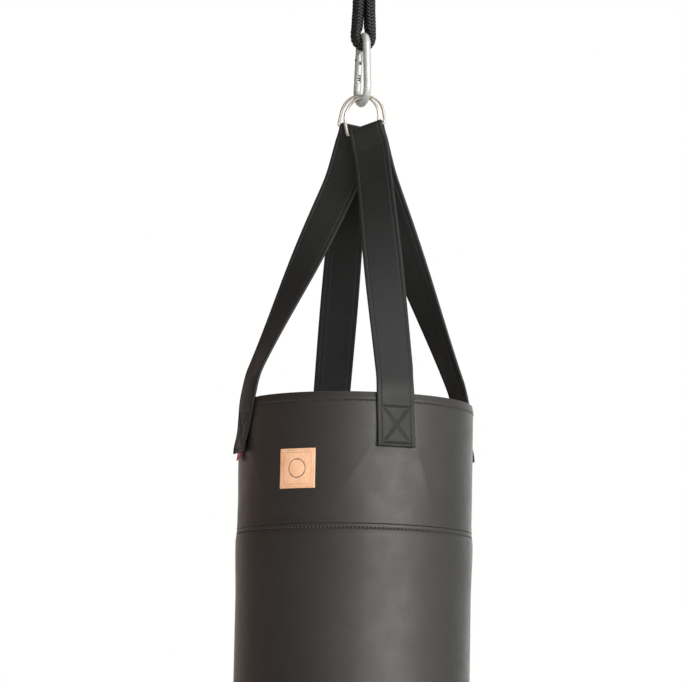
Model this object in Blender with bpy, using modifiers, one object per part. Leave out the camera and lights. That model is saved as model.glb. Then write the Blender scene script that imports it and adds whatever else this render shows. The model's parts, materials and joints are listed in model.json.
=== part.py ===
"""Hanging punching bag: ceiling plate and bail, doubled rope, spring hook, two
D-rings, four sewn straps, leather collar and body, zipped lid, foam and fill.

Frame: origin at the centre of the ceiling plate's upper face, +Z up, metres.
Azimuths are measured from -Y towards +X."""

import math

import bmesh
import bpy
from mathutils import Matrix, Vector

MM = 0.001
GAP = 0.3 * MM

# Bag
BAG_R = 150 * MM          # outer radius of collar and body
RIM_Z = -700 * MM         # upper edge of the collar
SEAM_Z = -864.5 * MM      # collar to body seam
BOTTOM_Z = -1700 * MM     # underside of the bag
SKIN = 2.6 * MM           # leather and backing
LID_TOP_Z = -711.8 * MM   # recessed lid

# Straps
STRAP_W = 50 * MM
FOLD_W = 47 * MM          # where it passes through its ring
STRAP_T = 3.6 * MM
STRAP_DOWN = 68 * MM      # sewn length below the rim
SEWN_BELOW_BAR = 24 * MM
LEG_AZ = {"front": 18.5, "right": 114.5, "back": 193.0, "left": -67.0}    # at the rim
LEG_END_AZ = {"front": 19.3, "right": 111.0, "back": 193.0, "left": -74.5}    # at the lower end

# Rings
RING_WIRE_R = 2 * MM
RING_HALF_W = 27.5 * MM   # centreline
RING_H = 45 * MM          # centreline
RING_YAW = math.radians(-24.3)
RING_TILT = math.radians(15)
RING_TOP_N = 2.8 * MM     # each ring's distance from the middle plane at its arch
RING_BAR_N = 7.3 * MM     # and at its bar

# Spring hook
HOOK_YAW = math.radians(19)
HOOK_WIRE_R = 5 * MM
HOOK_TOP_Z = -216 * MM    # wire centre at the narrow end
HOOK_R_TOP = 14 * MM
HOOK_R_BOTTOM = 20 * MM
HOOK_BOTTOM_Z = -304.6 * MM

# Rope and ceiling fitting
ROPE_R = 7 * MM
ROPE_BEND_R = HOOK_WIRE_R + ROPE_R + GAP
ROPE_PAIR = 7.2 * MM      # half the distance between the strands in the seizing
BAIL_Z = -45 * MM         # wire centre at the bail's bottom
BAIL_R = 16 * MM
SEIZING_Z = (-161 * MM, -117 * MM)
PART_Z = -195.5 * MM     # below this the two strands part to go round the hook
PLATE = (80 * MM, 80 * MM, 5 * MM)

Z = Vector((0, 0, 1))
U = Vector((math.sin(HOOK_YAW), -math.cos(HOOK_YAW), 0))   # across the hook, towards its spine
M = Vector((math.cos(HOOK_YAW), math.sin(HOOK_YAW), 0))    # square to the hook's plane
B = Vector((math.cos(RING_YAW), math.sin(RING_YAW), 0))    # along the ring bars
N = Vector((math.sin(RING_YAW), -math.cos(RING_YAW), 0))   # square to the rings

for old in list(bpy.data.objects):
    bpy.data.objects.remove(old, do_unlink=True)
for old in list(bpy.data.collections):
    bpy.data.collections.remove(old)
PARTS = bpy.data.collections.new("hanging_punching_bag")
CUTTERS = bpy.data.collections.new("cutters")
bpy.context.scene.collection.children.link(PARTS)
bpy.context.scene.collection.children.link(CUTTERS)


def material(name, color, roughness, metallic=0.0):
    mat = bpy.data.materials.new(name)
    mat.use_nodes = True
    shader = mat.node_tree.nodes["Principled BSDF"]
    shader.inputs["Base Color"].default_value = (*color, 1)
    shader.inputs["Roughness"].default_value = roughness
    shader.inputs["Metallic"].default_value = metallic
    mat.diffuse_color = (*color, 1)
    return mat


BLACK_LEATHER = material("black_leather", (0.03, 0.03, 0.03), 0.45)
TAN_LEATHER = material("tan_leather", (0.72, 0.42, 0.22), 0.6)
RED_TEXTILE = material("red_textile", (0.5, 0.02, 0.05), 0.8)
ZINC = material("zinc_plated_steel", (0.62, 0.64, 0.62), 0.3, 1.0)
NICKEL = material("nickel_plated_steel", (0.66, 0.65, 0.62), 0.22, 1.0)
ROPE = material("black_rope", (0.02, 0.02, 0.022), 0.8)
TWINE = material("whipping_twine", (0.03, 0.03, 0.03), 0.7)
PAINTED = material("painted_steel", (0.05, 0.05, 0.05), 0.4, 0.0)
BLACK_FABRIC = material("black_fabric", (0.03, 0.03, 0.03), 0.85)
BRASS_ZIP = material("zip_metal", (0.25, 0.24, 0.22), 0.35, 1.0)
FOAM = material("foam", (0.75, 0.72, 0.6), 0.95)
CANVAS = material("canvas", (0.6, 0.56, 0.46), 0.9)
FILL = material("fibre_fill", (0.35, 0.33, 0.3), 1.0)


def add(name, data, mat, collection=PARTS):
    obj = bpy.data.objects.new(name, data)
    collection.objects.link(obj)
    if mat is not None:
        data.materials.append(mat)
    return obj


def from_bmesh(name, bm, mat, collection=PARTS, smooth=True):
    bmesh.ops.recalc_face_normals(bm, faces=bm.faces)
    mesh = bpy.data.meshes.new(name)
    bm.to_mesh(mesh)
    bm.free()
    if smooth:
        mesh.shade_smooth()
        mesh.set_sharp_from_angle(angle=math.radians(35))
    return add(name, mesh, mat, collection)


def tube_curve(name, points, radius, mat, cyclic=False, resolution=2, collection=PARTS):
    curve = bpy.data.curves.new(name, "CURVE")
    curve.dimensions = "3D"
    curve.bevel_depth = radius
    curve.bevel_resolution = resolution
    curve.use_fill_caps = not cyclic
    spline = curve.splines.new("POLY")
    spline.points.add(len(points) - 1)
    for point, co in zip(spline.points, points):
        point.co = (*co, 1)
    spline.use_cyclic_u = cyclic
    return add(name, curve, mat, collection)


def to_mesh(obj, mat):
    """The curve object made a welded mesh object of the same name."""
    graph = bpy.context.evaluated_depsgraph_get()
    mesh = bpy.data.meshes.new_from_object(obj.evaluated_get(graph))
    name, matrix, collection = obj.name, obj.matrix_world.copy(), obj.users_collection[0]
    bpy.data.objects.remove(obj)
    bm = bmesh.new()
    bm.from_mesh(mesh)
    bmesh.ops.remove_doubles(bm, verts=bm.verts, dist=1e-6)
    bmesh.ops.recalc_face_normals(bm, faces=bm.faces)
    bm.to_mesh(mesh)
    bm.free()
    mesh.name = name
    mesh.materials.clear()
    new = add(name, mesh, mat, collection)
    new.matrix_world = matrix
    return new


def turned(name, profile, mat, steps=48, collection=PARTS):
    """A closed outline of (radius, z), down its outer side first, turned round Z."""
    bm = bmesh.new()
    verts = [bm.verts.new((r, 0, z)) for r, z in profile]
    on_axis = profile[0][0] < 1e-9 and profile[-1][0] < 1e-9
    for i in range(len(verts) - (1 if on_axis else 0)):
        bm.edges.new((verts[i], verts[(i + 1) % len(verts)]))
    mesh = bpy.data.meshes.new(name)
    bm.to_mesh(mesh)
    bm.free()
    obj = add(name, mesh, mat, collection)
    screw = obj.modifiers.new("turn", "SCREW")
    screw.axis = "Z"
    screw.steps = screw.render_steps = steps
    screw.use_merge_vertices = True
    screw.merge_threshold = 1e-5
    screw.use_smooth_shade = True
    return obj


def box(name, size, centre, mat, turn=0.0, bevel=0.0, collection=PARTS):
    bm = bmesh.new()
    bmesh.ops.create_cube(bm, size=1.0)
    bmesh.ops.scale(bm, vec=Vector(size), verts=bm.verts)
    obj = from_bmesh(name, bm, mat, collection, smooth=False)
    obj.matrix_world = Matrix.Translation(centre) @ Matrix.Rotation(turn, 4, "Z")
    if bevel:
        mod = obj.modifiers.new("edge", "BEVEL")
        mod.width = bevel
        mod.segments = 1
    return obj


def rod(name, start, end, radius, mat, sides=16, collection=PARTS):
    start, end = Vector(start), Vector(end)
    bm = bmesh.new()
    bmesh.ops.create_cone(bm, cap_ends=True, segments=sides, radius1=radius, radius2=radius,
                          depth=(end - start).length)
    obj = from_bmesh(name, bm, mat, collection)
    obj.matrix_world = (Matrix.Translation((start + end) / 2)
                        @ (end - start).to_track_quat("Z", "Y").to_matrix().to_4x4())
    return obj


def boolean(obj, cutter, operation="DIFFERENCE"):
    """The Boolean applied at once, so its cutter can go."""
    mod = obj.modifiers.new("bool", "BOOLEAN")
    mod.operation = operation
    mod.solver = "EXACT"
    mod.object = cutter
    bpy.context.view_layer.update()
    graph = bpy.context.evaluated_depsgraph_get()
    mesh = bpy.data.meshes.new_from_object(obj.evaluated_get(graph))
    obj.modifiers.clear()
    old = obj.data
    obj.data = mesh
    mesh.name = obj.name
    bpy.data.meshes.remove(old)
    bpy.data.objects.remove(cutter)


def smoothstep(x):
    x = min(max(x, 0.0), 1.0)
    return x * x * (3 - 2 * x)


def ramp(x, width):
    """0 well below 0, x well above it, with a soft corner."""
    return 0.5 * (x + math.sqrt(x * x + width * width))


def corner(x, width):
    """0 below -width, x above width, with a rounded corner between."""
    if abs(x) >= width:
        return max(x, 0.0)
    return (x + width) ** 2 / (4 * width)


def hermite(p0, t0, p1, t1, count):
    """Points from p0 to p1, both left in, with the given end tangents."""
    out = []
    for i in range(count):
        s = i / (count - 1)
        out.append((2 * s**3 - 3 * s**2 + 1) * p0 + (s**3 - 2 * s**2 + s) * t0
                   + (-2 * s**3 + 3 * s**2) * p1 + (s**3 - s**2) * t1)
    return out


# --- Ceiling plate and bail -------------------------------------------------

plate = box("ceiling_plate", PLATE, (0, 0, -PLATE[2] / 2), PAINTED, bevel=0)
for sx in (-1, 1):
    for sy in (-1, 1):
        boolean(plate, rod("hole", (sx * 29 * MM, sy * 29 * MM, -10 * MM),
                           (sx * 29 * MM, sy * 29 * MM, 5 * MM), 3.25 * MM, None, 12, CUTTERS))

arc_z = BAIL_Z + BAIL_R
top = -PLATE[2] - GAP
points = [-BAIL_R * U + top * Z, -BAIL_R * U + (top + arc_z) / 2 * Z]
for i in range(17):
    a = math.pi * i / 16
    points.append(-BAIL_R * math.cos(a) * U + (arc_z - BAIL_R * math.sin(a)) * Z)
points += [BAIL_R * U + (top + arc_z) / 2 * Z, BAIL_R * U + top * Z]
tube_curve("ceiling_bail", points, HOOK_WIRE_R, PAINTED)

# --- Rope: one length doubled round bail and hook, its ends meeting in the seizing


def rope_route():
    """In the plane square to the hook, as (sideways, height) pairs made 3-D."""
    leave, part = math.radians(16), math.radians(40)    # how far each bend runs past its half turn
    mid_z = sum(SEIZING_Z) / 2
    upper, lower = Vector((0, 0, BAIL_Z)), Vector((0, 0, HOOK_TOP_Z))

    def bend(centre, sign, past, steps=16):
        """From the +M side round to the -M side; sign +1 goes over the top."""
        out = []
        for i in range(steps + 1):
            a = -past + (math.pi + 2 * past) * i / steps
            out.append(centre + ROPE_BEND_R * (math.cos(a) * M + sign * math.sin(a) * Z))
        return out

    over = bend(upper, 1, leave)        # right to left over the bail
    under = bend(lower, -1, part)       # right to left under the hook's wire
    hi, lo = SEIZING_Z[1], SEIZING_Z[0]
    pull = 40 * MM
    right_hi, left_hi = ROPE_PAIR * M + hi * Z, -ROPE_PAIR * M + hi * Z
    right_lo, left_lo = ROPE_PAIR * M + PART_Z * Z, -ROPE_PAIR * M + PART_Z * Z
    # Directions at the arcs' ends, pointing away from the arcs
    out_r_top = (-math.sin(leave) * M - math.cos(leave) * Z)
    out_l_top = (math.sin(leave) * M - math.cos(leave) * Z)
    out_r_bot = (-math.sin(part) * M + math.cos(part) * Z)
    out_l_bot = (math.sin(part) * M + math.cos(part) * Z)
    start = ROPE_PAIR * M + (mid_z + 0.2 * MM) * Z
    end = ROPE_PAIR * M + (mid_z - 0.2 * MM) * Z
    path = [start, ROPE_PAIR * M + (mid_z + hi) / 2 * Z]
    path += hermite(right_hi, pull * Z, over[0], -pull * out_r_top, 7)[:-1]
    path += over
    path += hermite(over[-1], pull * out_l_top, left_hi, -pull * Z, 7)[1:]
    path += [-ROPE_PAIR * M + z * Z for z in (mid_z, lo, (lo + PART_Z) / 2)]
    path += hermite(left_lo, -11 * MM * Z, under[-1], -11 * MM * out_l_bot, 6)[:-1]
    path += under[::-1]
    path += hermite(under[0], 11 * MM * out_r_bot, right_lo, 11 * MM * Z, 6)[1:]
    path += [ROPE_PAIR * M + z * Z for z in ((lo + PART_Z) / 2, lo)] + [end]
    return path


tube_curve("rope_sling", rope_route(), ROPE_R, ROPE, resolution=2)

seizing = bpy.data.curves.new("rope_seizing", "CURVE")
seizing.dimensions = "2D"
seizing.fill_mode = "BOTH"
seizing.extrude = (SEIZING_Z[1] - SEIZING_Z[0]) / 2
for radius in (ROPE_R + GAP, ROPE_R + 2.1 * MM):
    spline = seizing.splines.new("POLY")
    outline = []
    for side in (1, -1):
        for i in range(9):
            a = -math.pi / 2 + math.pi * i / 8 + (0 if side > 0 else math.pi)
            outline.append((side * ROPE_PAIR + radius * math.cos(a), radius * math.sin(a)))
    spline.points.add(len(outline) - 1)
    for point, (x, y) in zip(spline.points, outline):
        point.co = (x, y, 0, 1)
    spline.use_cyclic_u = True
obj = add("rope_seizing", seizing, TWINE)
obj.matrix_world = Matrix.Translation((0, 0, sum(SEIZING_Z) / 2)) @ Matrix.Rotation(HOOK_YAW, 4, "Z")
bpy.context.view_layer.update()
to_mesh(obj, TWINE)

# --- Spring hook ------------------------------------------------------------

TOP_C = HOOK_TOP_Z - HOOK_R_TOP          # heights of the two arcs' centres
BOTTOM_C = HOOK_BOTTOM_Z + HOOK_R_BOTTOM
gate_top = -HOOK_R_TOP * U + TOP_C * Z   # where the gate side's straight begins
gate_dir = ((-HOOK_R_BOTTOM * U + BOTTOM_C * Z) - gate_top).normalized()
IN = (U - U.dot(gate_dir) * gate_dir).normalized()   # from the gate into the hook


def on_gate(down, inward=0.0, square=0.0):
    return gate_top + down * gate_dir + inward * IN + square * M


HINGE = 15 * MM
LATCH = HINGE + 25 * MM
GATE_FROM, GATE_TO = 6 * MM, HINGE + 29.2 * MM

points = [on_gate(5.5 * MM), on_gate(2 * MM)]
for i in range(17):
    a = math.pi * i / 16
    points.append(-HOOK_R_TOP * math.cos(a) * U + (TOP_C + HOOK_R_TOP * math.sin(a)) * Z)
points.append((HOOK_R_TOP + HOOK_R_BOTTOM) / 2 * U + (TOP_C + BOTTOM_C) / 2 * Z)
for i in range(21):
    a = math.pi * i / 20
    points.append(HOOK_R_BOTTOM * math.cos(a) * U + (BOTTOM_C - HOOK_R_BOTTOM * math.sin(a)) * Z)
points.append(on_gate(GATE_TO + 0.8 * MM))
body = to_mesh(tube_curve("carabiner_body", points, HOOK_WIRE_R, ZINC, resolution=3), ZINC)


def gate_frame(down, inward=0.0):
    """Axes: X inward, Y up along the gate, Z square to the hook's plane."""
    rows = Matrix((IN, -gate_dir, IN.cross(-gate_dir))).transposed().to_4x4()
    return Matrix.Translation(on_gate(down, inward)) @ rows


def flat_plate(name, outline, half, matrix, mat, collection):
    """A closed outline of (x, y) thickened both ways."""
    curve = bpy.data.curves.new(name, "CURVE")
    curve.dimensions = "2D"
    curve.fill_mode = "BOTH"
    curve.extrude = half
    spline = curve.splines.new("POLY")
    spline.points.add(len(outline) - 1)
    for point, (x, y) in zip(spline.points, outline):
        point.co = (x, y, 0, 1)
    spline.use_cyclic_u = True
    obj = add(name, curve, mat, collection)
    obj.matrix_world = matrix
    bpy.context.view_layer.update()
    return to_mesh(obj, mat)


tongue = [(-4 * MM, 14 * MM)]
for i in range(13):
    a = math.pi + math.pi * i / 12
    tongue.append((4 * MM * math.cos(a), 4 * MM * math.sin(a)))
tongue.append((4 * MM, 14 * MM))
boolean(body, flat_plate("tongue", tongue, 2 * MM, gate_frame(HINGE), None, CUTTERS), "UNION")

nose = [(-3.2 * MM, -35 * MM), (-3.2 * MM, -21.5 * MM), (-2.2 * MM, -20.6 * MM), (2.6 * MM, -20.6 * MM),
        (3.4 * MM, -21.4 * MM), (3.4 * MM, -22.9 * MM)]
for i in range(9):
    a = math.pi / 2 + math.pi * i / 8
    nose.append((-0.1 * MM + 2.1 * MM * math.cos(a), -25 * MM + 2.1 * MM * math.sin(a)))
nose += [(3.2 * MM, -27.1 * MM), (3.2 * MM, -35 * MM)]
boolean(body, flat_plate("nose", nose, 2 * MM, gate_frame(HINGE), None, CUTTERS), "UNION")
boolean(body, rod("rivet_bore", on_gate(HINGE, 0, -8 * MM), on_gate(HINGE, 0, 8 * MM), 2.3 * MM, None, 16, CUTTERS))

gate = rod("carabiner_gate", on_gate(GATE_FROM), on_gate(GATE_TO), HOOK_WIRE_R, ZINC, 20)
cheek = []
for i in range(17):
    a = math.pi * i / 16
    cheek.append((9 * MM * math.cos(a), 9 * MM * math.sin(a)))
cheek += [(-9 * MM, -40 * MM), (9 * MM, -40 * MM)]
boolean(gate, flat_plate("cheek", cheek, 8 * MM, gate_frame(HINGE), None, CUTTERS), "INTERSECT")
slot = [(-9 * MM, 12 * MM), (-9 * MM, -6 * MM), (9 * MM, -6 * MM), (9 * MM, 12 * MM)]
boolean(gate, flat_plate("slot", slot, 2.35 * MM, gate_frame(HINGE), None, CUTTERS))
fork = [(-9 * MM, -19.6 * MM), (-9 * MM, -33 * MM), (9 * MM, -33 * MM), (9 * MM, -19.6 * MM)]
boolean(gate, flat_plate("fork", fork, 2.35 * MM, gate_frame(HINGE), None, CUTTERS))
boolean(gate, rod("bore", on_gate(HINGE + 5 * MM), on_gate(HINGE + 16.5 * MM), 2.2 * MM, None, 12, CUTTERS))
boolean(gate, rod("rivet_bore", on_gate(HINGE, 0, -8 * MM), on_gate(HINGE, 0, 8 * MM), 2.3 * MM, None, 16, CUTTERS))
boolean(gate, rod("pin_bore", on_gate(LATCH, 0, -8 * MM), on_gate(LATCH, 0, 8 * MM), 1.8 * MM, None, 12, CUTTERS))

rod("gate_hinge_rivet", on_gate(HINGE, 0, -5.2 * MM), on_gate(HINGE, 0, 5.2 * MM), 2 * MM, ZINC, 16)
rod("gate_latch_pin", on_gate(LATCH, 0, -4.8 * MM), on_gate(LATCH, 0, 4.8 * MM), 1.5 * MM, ZINC, 12)
rod("gate_plunger", on_gate(HINGE + 4.4 * MM), on_gate(HINGE + 9 * MM), 1.8 * MM, ZINC, 12)
coil = []
for i in range(37):
    a = 2 * math.pi * i / 8
    coil.append(on_gate(HINGE + 9.8 * MM + 5.6 * MM * i / 36) + 1.4 * MM * (math.cos(a) * IN + math.sin(a) * M))
tube_curve("gate_spring", coil, 0.35 * MM, ZINC, resolution=0)

# --- Rings: a bar, two short sides and an arch over the hook's wire ----------

RING_ARC_Z = RING_H - RING_HALF_W        # arch centre above the bar


def wire_rise(across):
    """How far the hook's lower wire has climbed at this distance across it."""
    return HOOK_R_BOTTOM - math.sqrt(HOOK_R_BOTTOM**2 - across**2)


HOOK_WIRE = [math.sin(i * 0.05) * HOOK_R_BOTTOM * U + (BOTTOM_C - HOOK_R_BOTTOM * math.cos(i * 0.05)) * Z
             for i in range(-24, 25)]


def ring_frame(side):
    """Centre of the bar, the bar's direction and the ring's up direction.

    The ring hangs as low as its arch clears the hook's wire."""
    across = side * RING_TOP_N / U.dot(N)
    splay = math.asin((RING_BAR_N - RING_TOP_N) / RING_H)
    wire = across * U + (HOOK_BOTTOM_Z + wire_rise(across)) * Z

    def upward(angle):
        return math.cos(splay) * (math.cos(angle) * Z - math.sin(angle) * B) - side * math.sin(splay) * N

    tilt = RING_TILT * side
    bar_dir = math.cos(tilt) * B + math.sin(tilt) * Z
    up, lean = upward(tilt), upward(math.radians(8) * side)
    needed = HOOK_WIRE_R + RING_WIRE_R + (0.5 * MM if side > 0 else 2.1 * MM)
    low, high = 5 * MM, 24 * MM
    for _ in range(24):
        reach = (low + high) / 2
        arch = wire - reach * lean
        nearest = min((arch + RING_HALF_W * (math.cos(a * 0.06) * bar_dir + math.sin(a * 0.06) * up) - w).length
                      for a in range(8, 46) for w in HOOK_WIRE)
        if nearest > needed:
            low = reach
        else:
            high = reach
    return arch - RING_ARC_Z * up, bar_dir, up


def ring(name, side):
    centre, along, up = ring_frame(side)
    bend = 3.5 * MM
    flat = [(-RING_HALF_W + bend, 0), (0, 0), (RING_HALF_W - bend, 0)]
    for i in range(1, 4):
        a = -math.pi / 2 + math.pi / 2 * i / 4
        flat.append((RING_HALF_W - bend + bend * math.cos(a), bend + bend * math.sin(a)))
    for i in range(25):
        a = math.pi * i / 24
        flat.append((RING_HALF_W * math.cos(a), RING_ARC_Z + RING_HALF_W * math.sin(a)))
    for i in range(1, 4):
        a = math.pi + math.pi / 2 * i / 4
        flat.append((-RING_HALF_W + bend + bend * math.cos(a), bend + bend * math.sin(a)))
    tube_curve(name, [centre + x * along + y * up for x, y in flat], RING_WIRE_R, NICKEL, cyclic=True)


ring("ring_front", 1)
ring("ring_rear", -1)

# --- Straps -----------------------------------------------------------------

MID_R = BAG_R + GAP + STRAP_T / 2        # the straps' middle surface on the collar


def leg(name, side):
    """Stations of one leg from its ring bar to its lower end, as rows of five points."""
    centre, bar_dir, up = ring_frame(side)
    az = math.radians(LEG_AZ[name])
    face = 1 if name in ("front", "left") else -1      # which side of the bar it leaves from
    sign = 1 if name in ("front", "left") else -1
    tangent = Vector((math.cos(az), math.sin(az), 0)) * sign
    radial = Vector((math.sin(az), -math.cos(az), 0))
    start_bend = (32 if name in ("front", "back") else 66) * MM
    total = centre.z - RIM_Z
    meet = total - 6 * MM                               # where the straight run meets the collar's radius
    goal = MID_R * radial
    n0 = centre.dot(N)
    b0 = centre.dot(B)
    slope_b = (goal.dot(B) - b0) / meet
    sewn_n = n0 + face * (STRAP_T / 2 + GAP / 2)
    slope_n = (goal.dot(N) - sewn_n) / ramp(meet - start_bend, 14 * MM)
    downs = [4, 9, 15, 22, 30, 40, 50, 60, 70, 82, 100, 125, 155, 190, 225, 260, 290, 315, 332, 343, 350]
    downs = [d * MM for d in downs if d * MM < total - 8 * MM]
    downs += [total - 5 * MM, total - 2 * MM, total + 3 * MM, total + 12 * MM, total + 30 * MM,
              total + 50 * MM, total + STRAP_DOWN]
    loop_r = RING_WIRE_R + GAP + STRAP_T / 2

    def azimuth(down):
        """The sewn part leans a little to one side."""
        lean = smoothstep((down - meet) / (total + STRAP_DOWN - meet))
        return az + lean * math.radians(LEG_END_AZ[name] - LEG_AZ[name])

    def middle(down):
        pinch = smoothstep(down / SEWN_BELOW_BAR)
        n = n0 + face * (loop_r + (STRAP_T / 2 + GAP / 2 - loop_r) * pinch)
        n += slope_n * (ramp(down - start_bend, 14 * MM) - ramp(-start_bend, 14 * MM) * (1 - down / meet))
        flat = (b0 + slope_b * down) * B + n * N
        if down > meet:
            short = -0.4 * (down - meet)
        else:
            short = MID_R - flat.length
        radius = MID_R - corner(short, 2 * MM)
        here = azimuth(down)
        direction = flat.normalized() if down < meet else Vector((math.sin(here), -math.cos(here), 0))
        return direction * radius + (centre.z - down) * Z

    rows = []
    for down in downs:
        here = middle(down)
        ahead = middle(down + 0.5 * MM) - middle(down - 0.5 * MM)
        ahead.normalize()
        held = (80 if name == "left" else 60 if name == "right" else 29) * MM    # flat to here
        twist = smoothstep((down - held) / (meet - held))
        across = bar_dir.lerp(tangent, twist)
        across = (across - across.dot(ahead) * ahead).normalized()
        wrap = smoothstep((down - meet + 30 * MM) / (34 * MM))
        row = []
        for i in range(5):
            q = (FOLD_W + (STRAP_W - FOLD_W) * smoothstep((down - 6 * MM) / (16 * MM))) * (i / 4 - 0.5)
            flat = here + q * across
            turn = azimuth(down) + sign * q / MID_R
            radius = math.hypot(here.x, here.y)
            curved = Vector((radius * math.sin(turn), -radius * math.cos(turn), here.z))
            row.append(flat.lerp(curved, wrap))
        rows.append(row)
    return rows


def strap(name, first, second, side):
    """One strap: down the first leg, over the ring bar and down the second."""
    centre, bar_dir, up = ring_frame(side)
    loop_r = RING_WIRE_R + GAP + STRAP_T / 2
    rows = leg(first, side)[::-1]
    out = up.cross(bar_dir)
    out *= 1 if out.dot(N) > 0 else -1
    for i in range(9):
        a = math.pi * i / 8
        mid = centre + loop_r * (math.cos(a) * out + math.sin(a) * up)
        rows.append([mid + FOLD_W * (k / 4 - 0.5) * bar_dir for k in range(5)])
    rows += leg(second, side)
    bm = bmesh.new()
    grid = [[bm.verts.new(p) for p in row] for row in rows]
    for r0, r1 in zip(grid, grid[1:]):
        for k in range(4):
            bm.faces.new((r0[k], r0[k + 1], r1[k + 1], r1[k]))
    obj = from_bmesh(name, bm, BLACK_LEATHER)
    solid = obj.modifiers.new("thickness", "SOLIDIFY")
    solid.thickness = STRAP_T
    solid.offset = 0
    solid.use_even_offset = True
    return obj


strap("strap_front_right", "front", "right", 1)
strap("strap_left_back", "left", "back", -1)

# --- Bag shells -------------------------------------------------------------

r, t = BAG_R, SKIN
turned("collar_panel", [
    (r - 1.2 * MM, RIM_Z), (r - 0.3 * MM, RIM_Z - 1 * MM), (r, RIM_Z - 2.5 * MM),
    (r, SEAM_Z + 2.2 * MM), (r - 1.3 * MM, SEAM_Z + GAP / 2), (r - t, SEAM_Z + GAP / 2),
    (r - t, RIM_Z - 1 * MM), (r - t + 1 * MM, RIM_Z)], BLACK_LEATHER, 56)
turned("body_panel", [
    (r - 1.3 * MM, SEAM_Z - GAP / 2), (r + 0.2 * MM, SEAM_Z - 2.4 * MM), (r + 0.7 * MM, SEAM_Z - 12 * MM),
    (r, SEAM_Z - 40 * MM), (r, BOTTOM_Z + 14 * MM), (r - 1.5 * MM, BOTTOM_Z + 7 * MM),
    (r - 5.5 * MM, BOTTOM_Z + 2 * MM), (r - 12 * MM, BOTTOM_Z), (r - 13 * MM, BOTTOM_Z + t),
    (r - 6.5 * MM, BOTTOM_Z + 4.2 * MM), (r - 3.9 * MM, BOTTOM_Z + 8 * MM), (r - t, BOTTOM_Z + 14.5 * MM),
    (r - t, SEAM_Z - GAP / 2)], BLACK_LEATHER, 56)
turned("bottom_panel", [(0, BOTTOM_Z + t + 0.2 * MM), (r - 14 * MM, BOTTOM_Z + t + 0.2 * MM),
                        (r - 13.5 * MM, BOTTOM_Z + 0.3 * MM), (0, BOTTOM_Z + 0.3 * MM)], BLACK_LEATHER, 40)


def plain_ring(name, outer, inner, top, bottom, mat, steps=32):
    turned(name, [(outer, top), (outer, bottom), (inner, bottom), (inner, top)], mat, steps)


def plain_disc(name, radius, top, bottom, mat, steps=32):
    turned(name, [(0, top), (radius, top), (radius, bottom), (0, bottom)], mat, steps)


plain_ring("collar_band", 146.6 * MM, 143.6 * MM, LID_TOP_Z - 2.6 * MM, LID_TOP_Z - 66 * MM, BLACK_FABRIC, 40)

FOAM_TOP = LID_TOP_Z - 7.2 * MM
plain_disc("foam_cap", 142.6 * MM, FOAM_TOP, FOAM_TOP - 20 * MM, FOAM)
liner_top = FOAM_TOP - 20.3 * MM
base_top = BOTTOM_Z + t + 20.8 * MM
step_z = LID_TOP_Z - 67 * MM
turned("foam_liner", [
    (142.6 * MM, liner_top), (142.6 * MM, step_z), (146 * MM, step_z - 4 * MM), (146 * MM, base_top + GAP),
    (124 * MM, base_top + GAP), (124 * MM, liner_top)], FOAM, 32)
plain_disc("foam_base", 134 * MM, base_top, BOTTOM_Z + t + 0.6 * MM, FOAM)
turned("inner_sack", [
    (123.2 * MM, liner_top), (123.2 * MM, base_top + GAP), (0, base_top + GAP), (0, base_top + 1.6 * MM),
    (121.8 * MM, base_top + 1.6 * MM), (121.8 * MM, liner_top)][::1], CANVAS, 32)
plain_disc("fill_core", 120.8 * MM, liner_top - 1 * MM, base_top + 2 * MM, FILL)

# --- Lid and zip: two half discs, two tapes, two rows of teeth, a slider ------

LID_R = 146.2 * MM
LID_T = 2 * MM
ZIP_HALF = 9 * MM


def half_disc(name, sign):
    outline = []
    first = math.asin(ZIP_HALF / LID_R)
    for i in range(21):
        a = first + (math.pi - 2 * first) * i / 20
        outline.append((LID_R * math.cos(a), sign * LID_R * math.sin(a)))
    matrix = Matrix.Translation((0, 0, LID_TOP_Z - LID_T / 2))
    flat_plate(name, outline, LID_T / 2, matrix, BLACK_LEATHER, PARTS)


half_disc("lid_front", -1)
half_disc("lid_rear", 1)
tape_z = LID_TOP_Z - LID_T - GAP - 0.45 * MM
for name, sign in (("front", -1), ("rear", 1)):
    box("zip_tape_" + name, (232 * MM, 12 * MM, 0.9 * MM), (0, sign * 9.3 * MM, tape_z), BLACK_FABRIC)
    box("zip_teeth_" + name, (212 * MM, 2.2 * MM, 2.4 * MM), (0, sign * 1.8 * MM, tape_z), BRASS_ZIP)

SLIDER_X = 96 * MM
slider = box("zip_slider", (12 * MM, 9 * MM, 1.1 * MM), (SLIDER_X, 0, tape_z + 2.15 * MM), BRASS_ZIP)
boolean(slider, box("lower", (12 * MM, 9 * MM, 1.1 * MM), (SLIDER_X, 0, tape_z - 2.15 * MM), None,
                    collection=CUTTERS), "UNION")
boolean(slider, box("post", (3 * MM, 0.8 * MM, 4.6 * MM), (SLIDER_X + 4 * MM, 0, tape_z), None,
                    collection=CUTTERS), "UNION")
PULL_X, PULL_Z = SLIDER_X - 1 * MM, tape_z + 4.3 * MM
lug = [(-3 * MM, -2 * MM), (3 * MM, -2 * MM), (2.6 * MM, 1 * MM)]
for i in range(7):
    a = math.pi * i / 6
    lug.append((2 * MM * math.cos(a), 1 * MM + 1 * MM * math.sin(a)))
lug.append((-2.6 * MM, 1 * MM))
side_on = Matrix.Translation((PULL_X, 0, PULL_Z)) @ Matrix.Rotation(math.pi / 2, 4, "X")
boolean(slider, flat_plate("lug", lug, 0.9 * MM, side_on, None, CUTTERS), "UNION")
boolean(slider, rod("lug_bore", (PULL_X, -4 * MM, PULL_Z), (PULL_X, 4 * MM, PULL_Z), 1.15 * MM, None, 12, CUTTERS))

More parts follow.
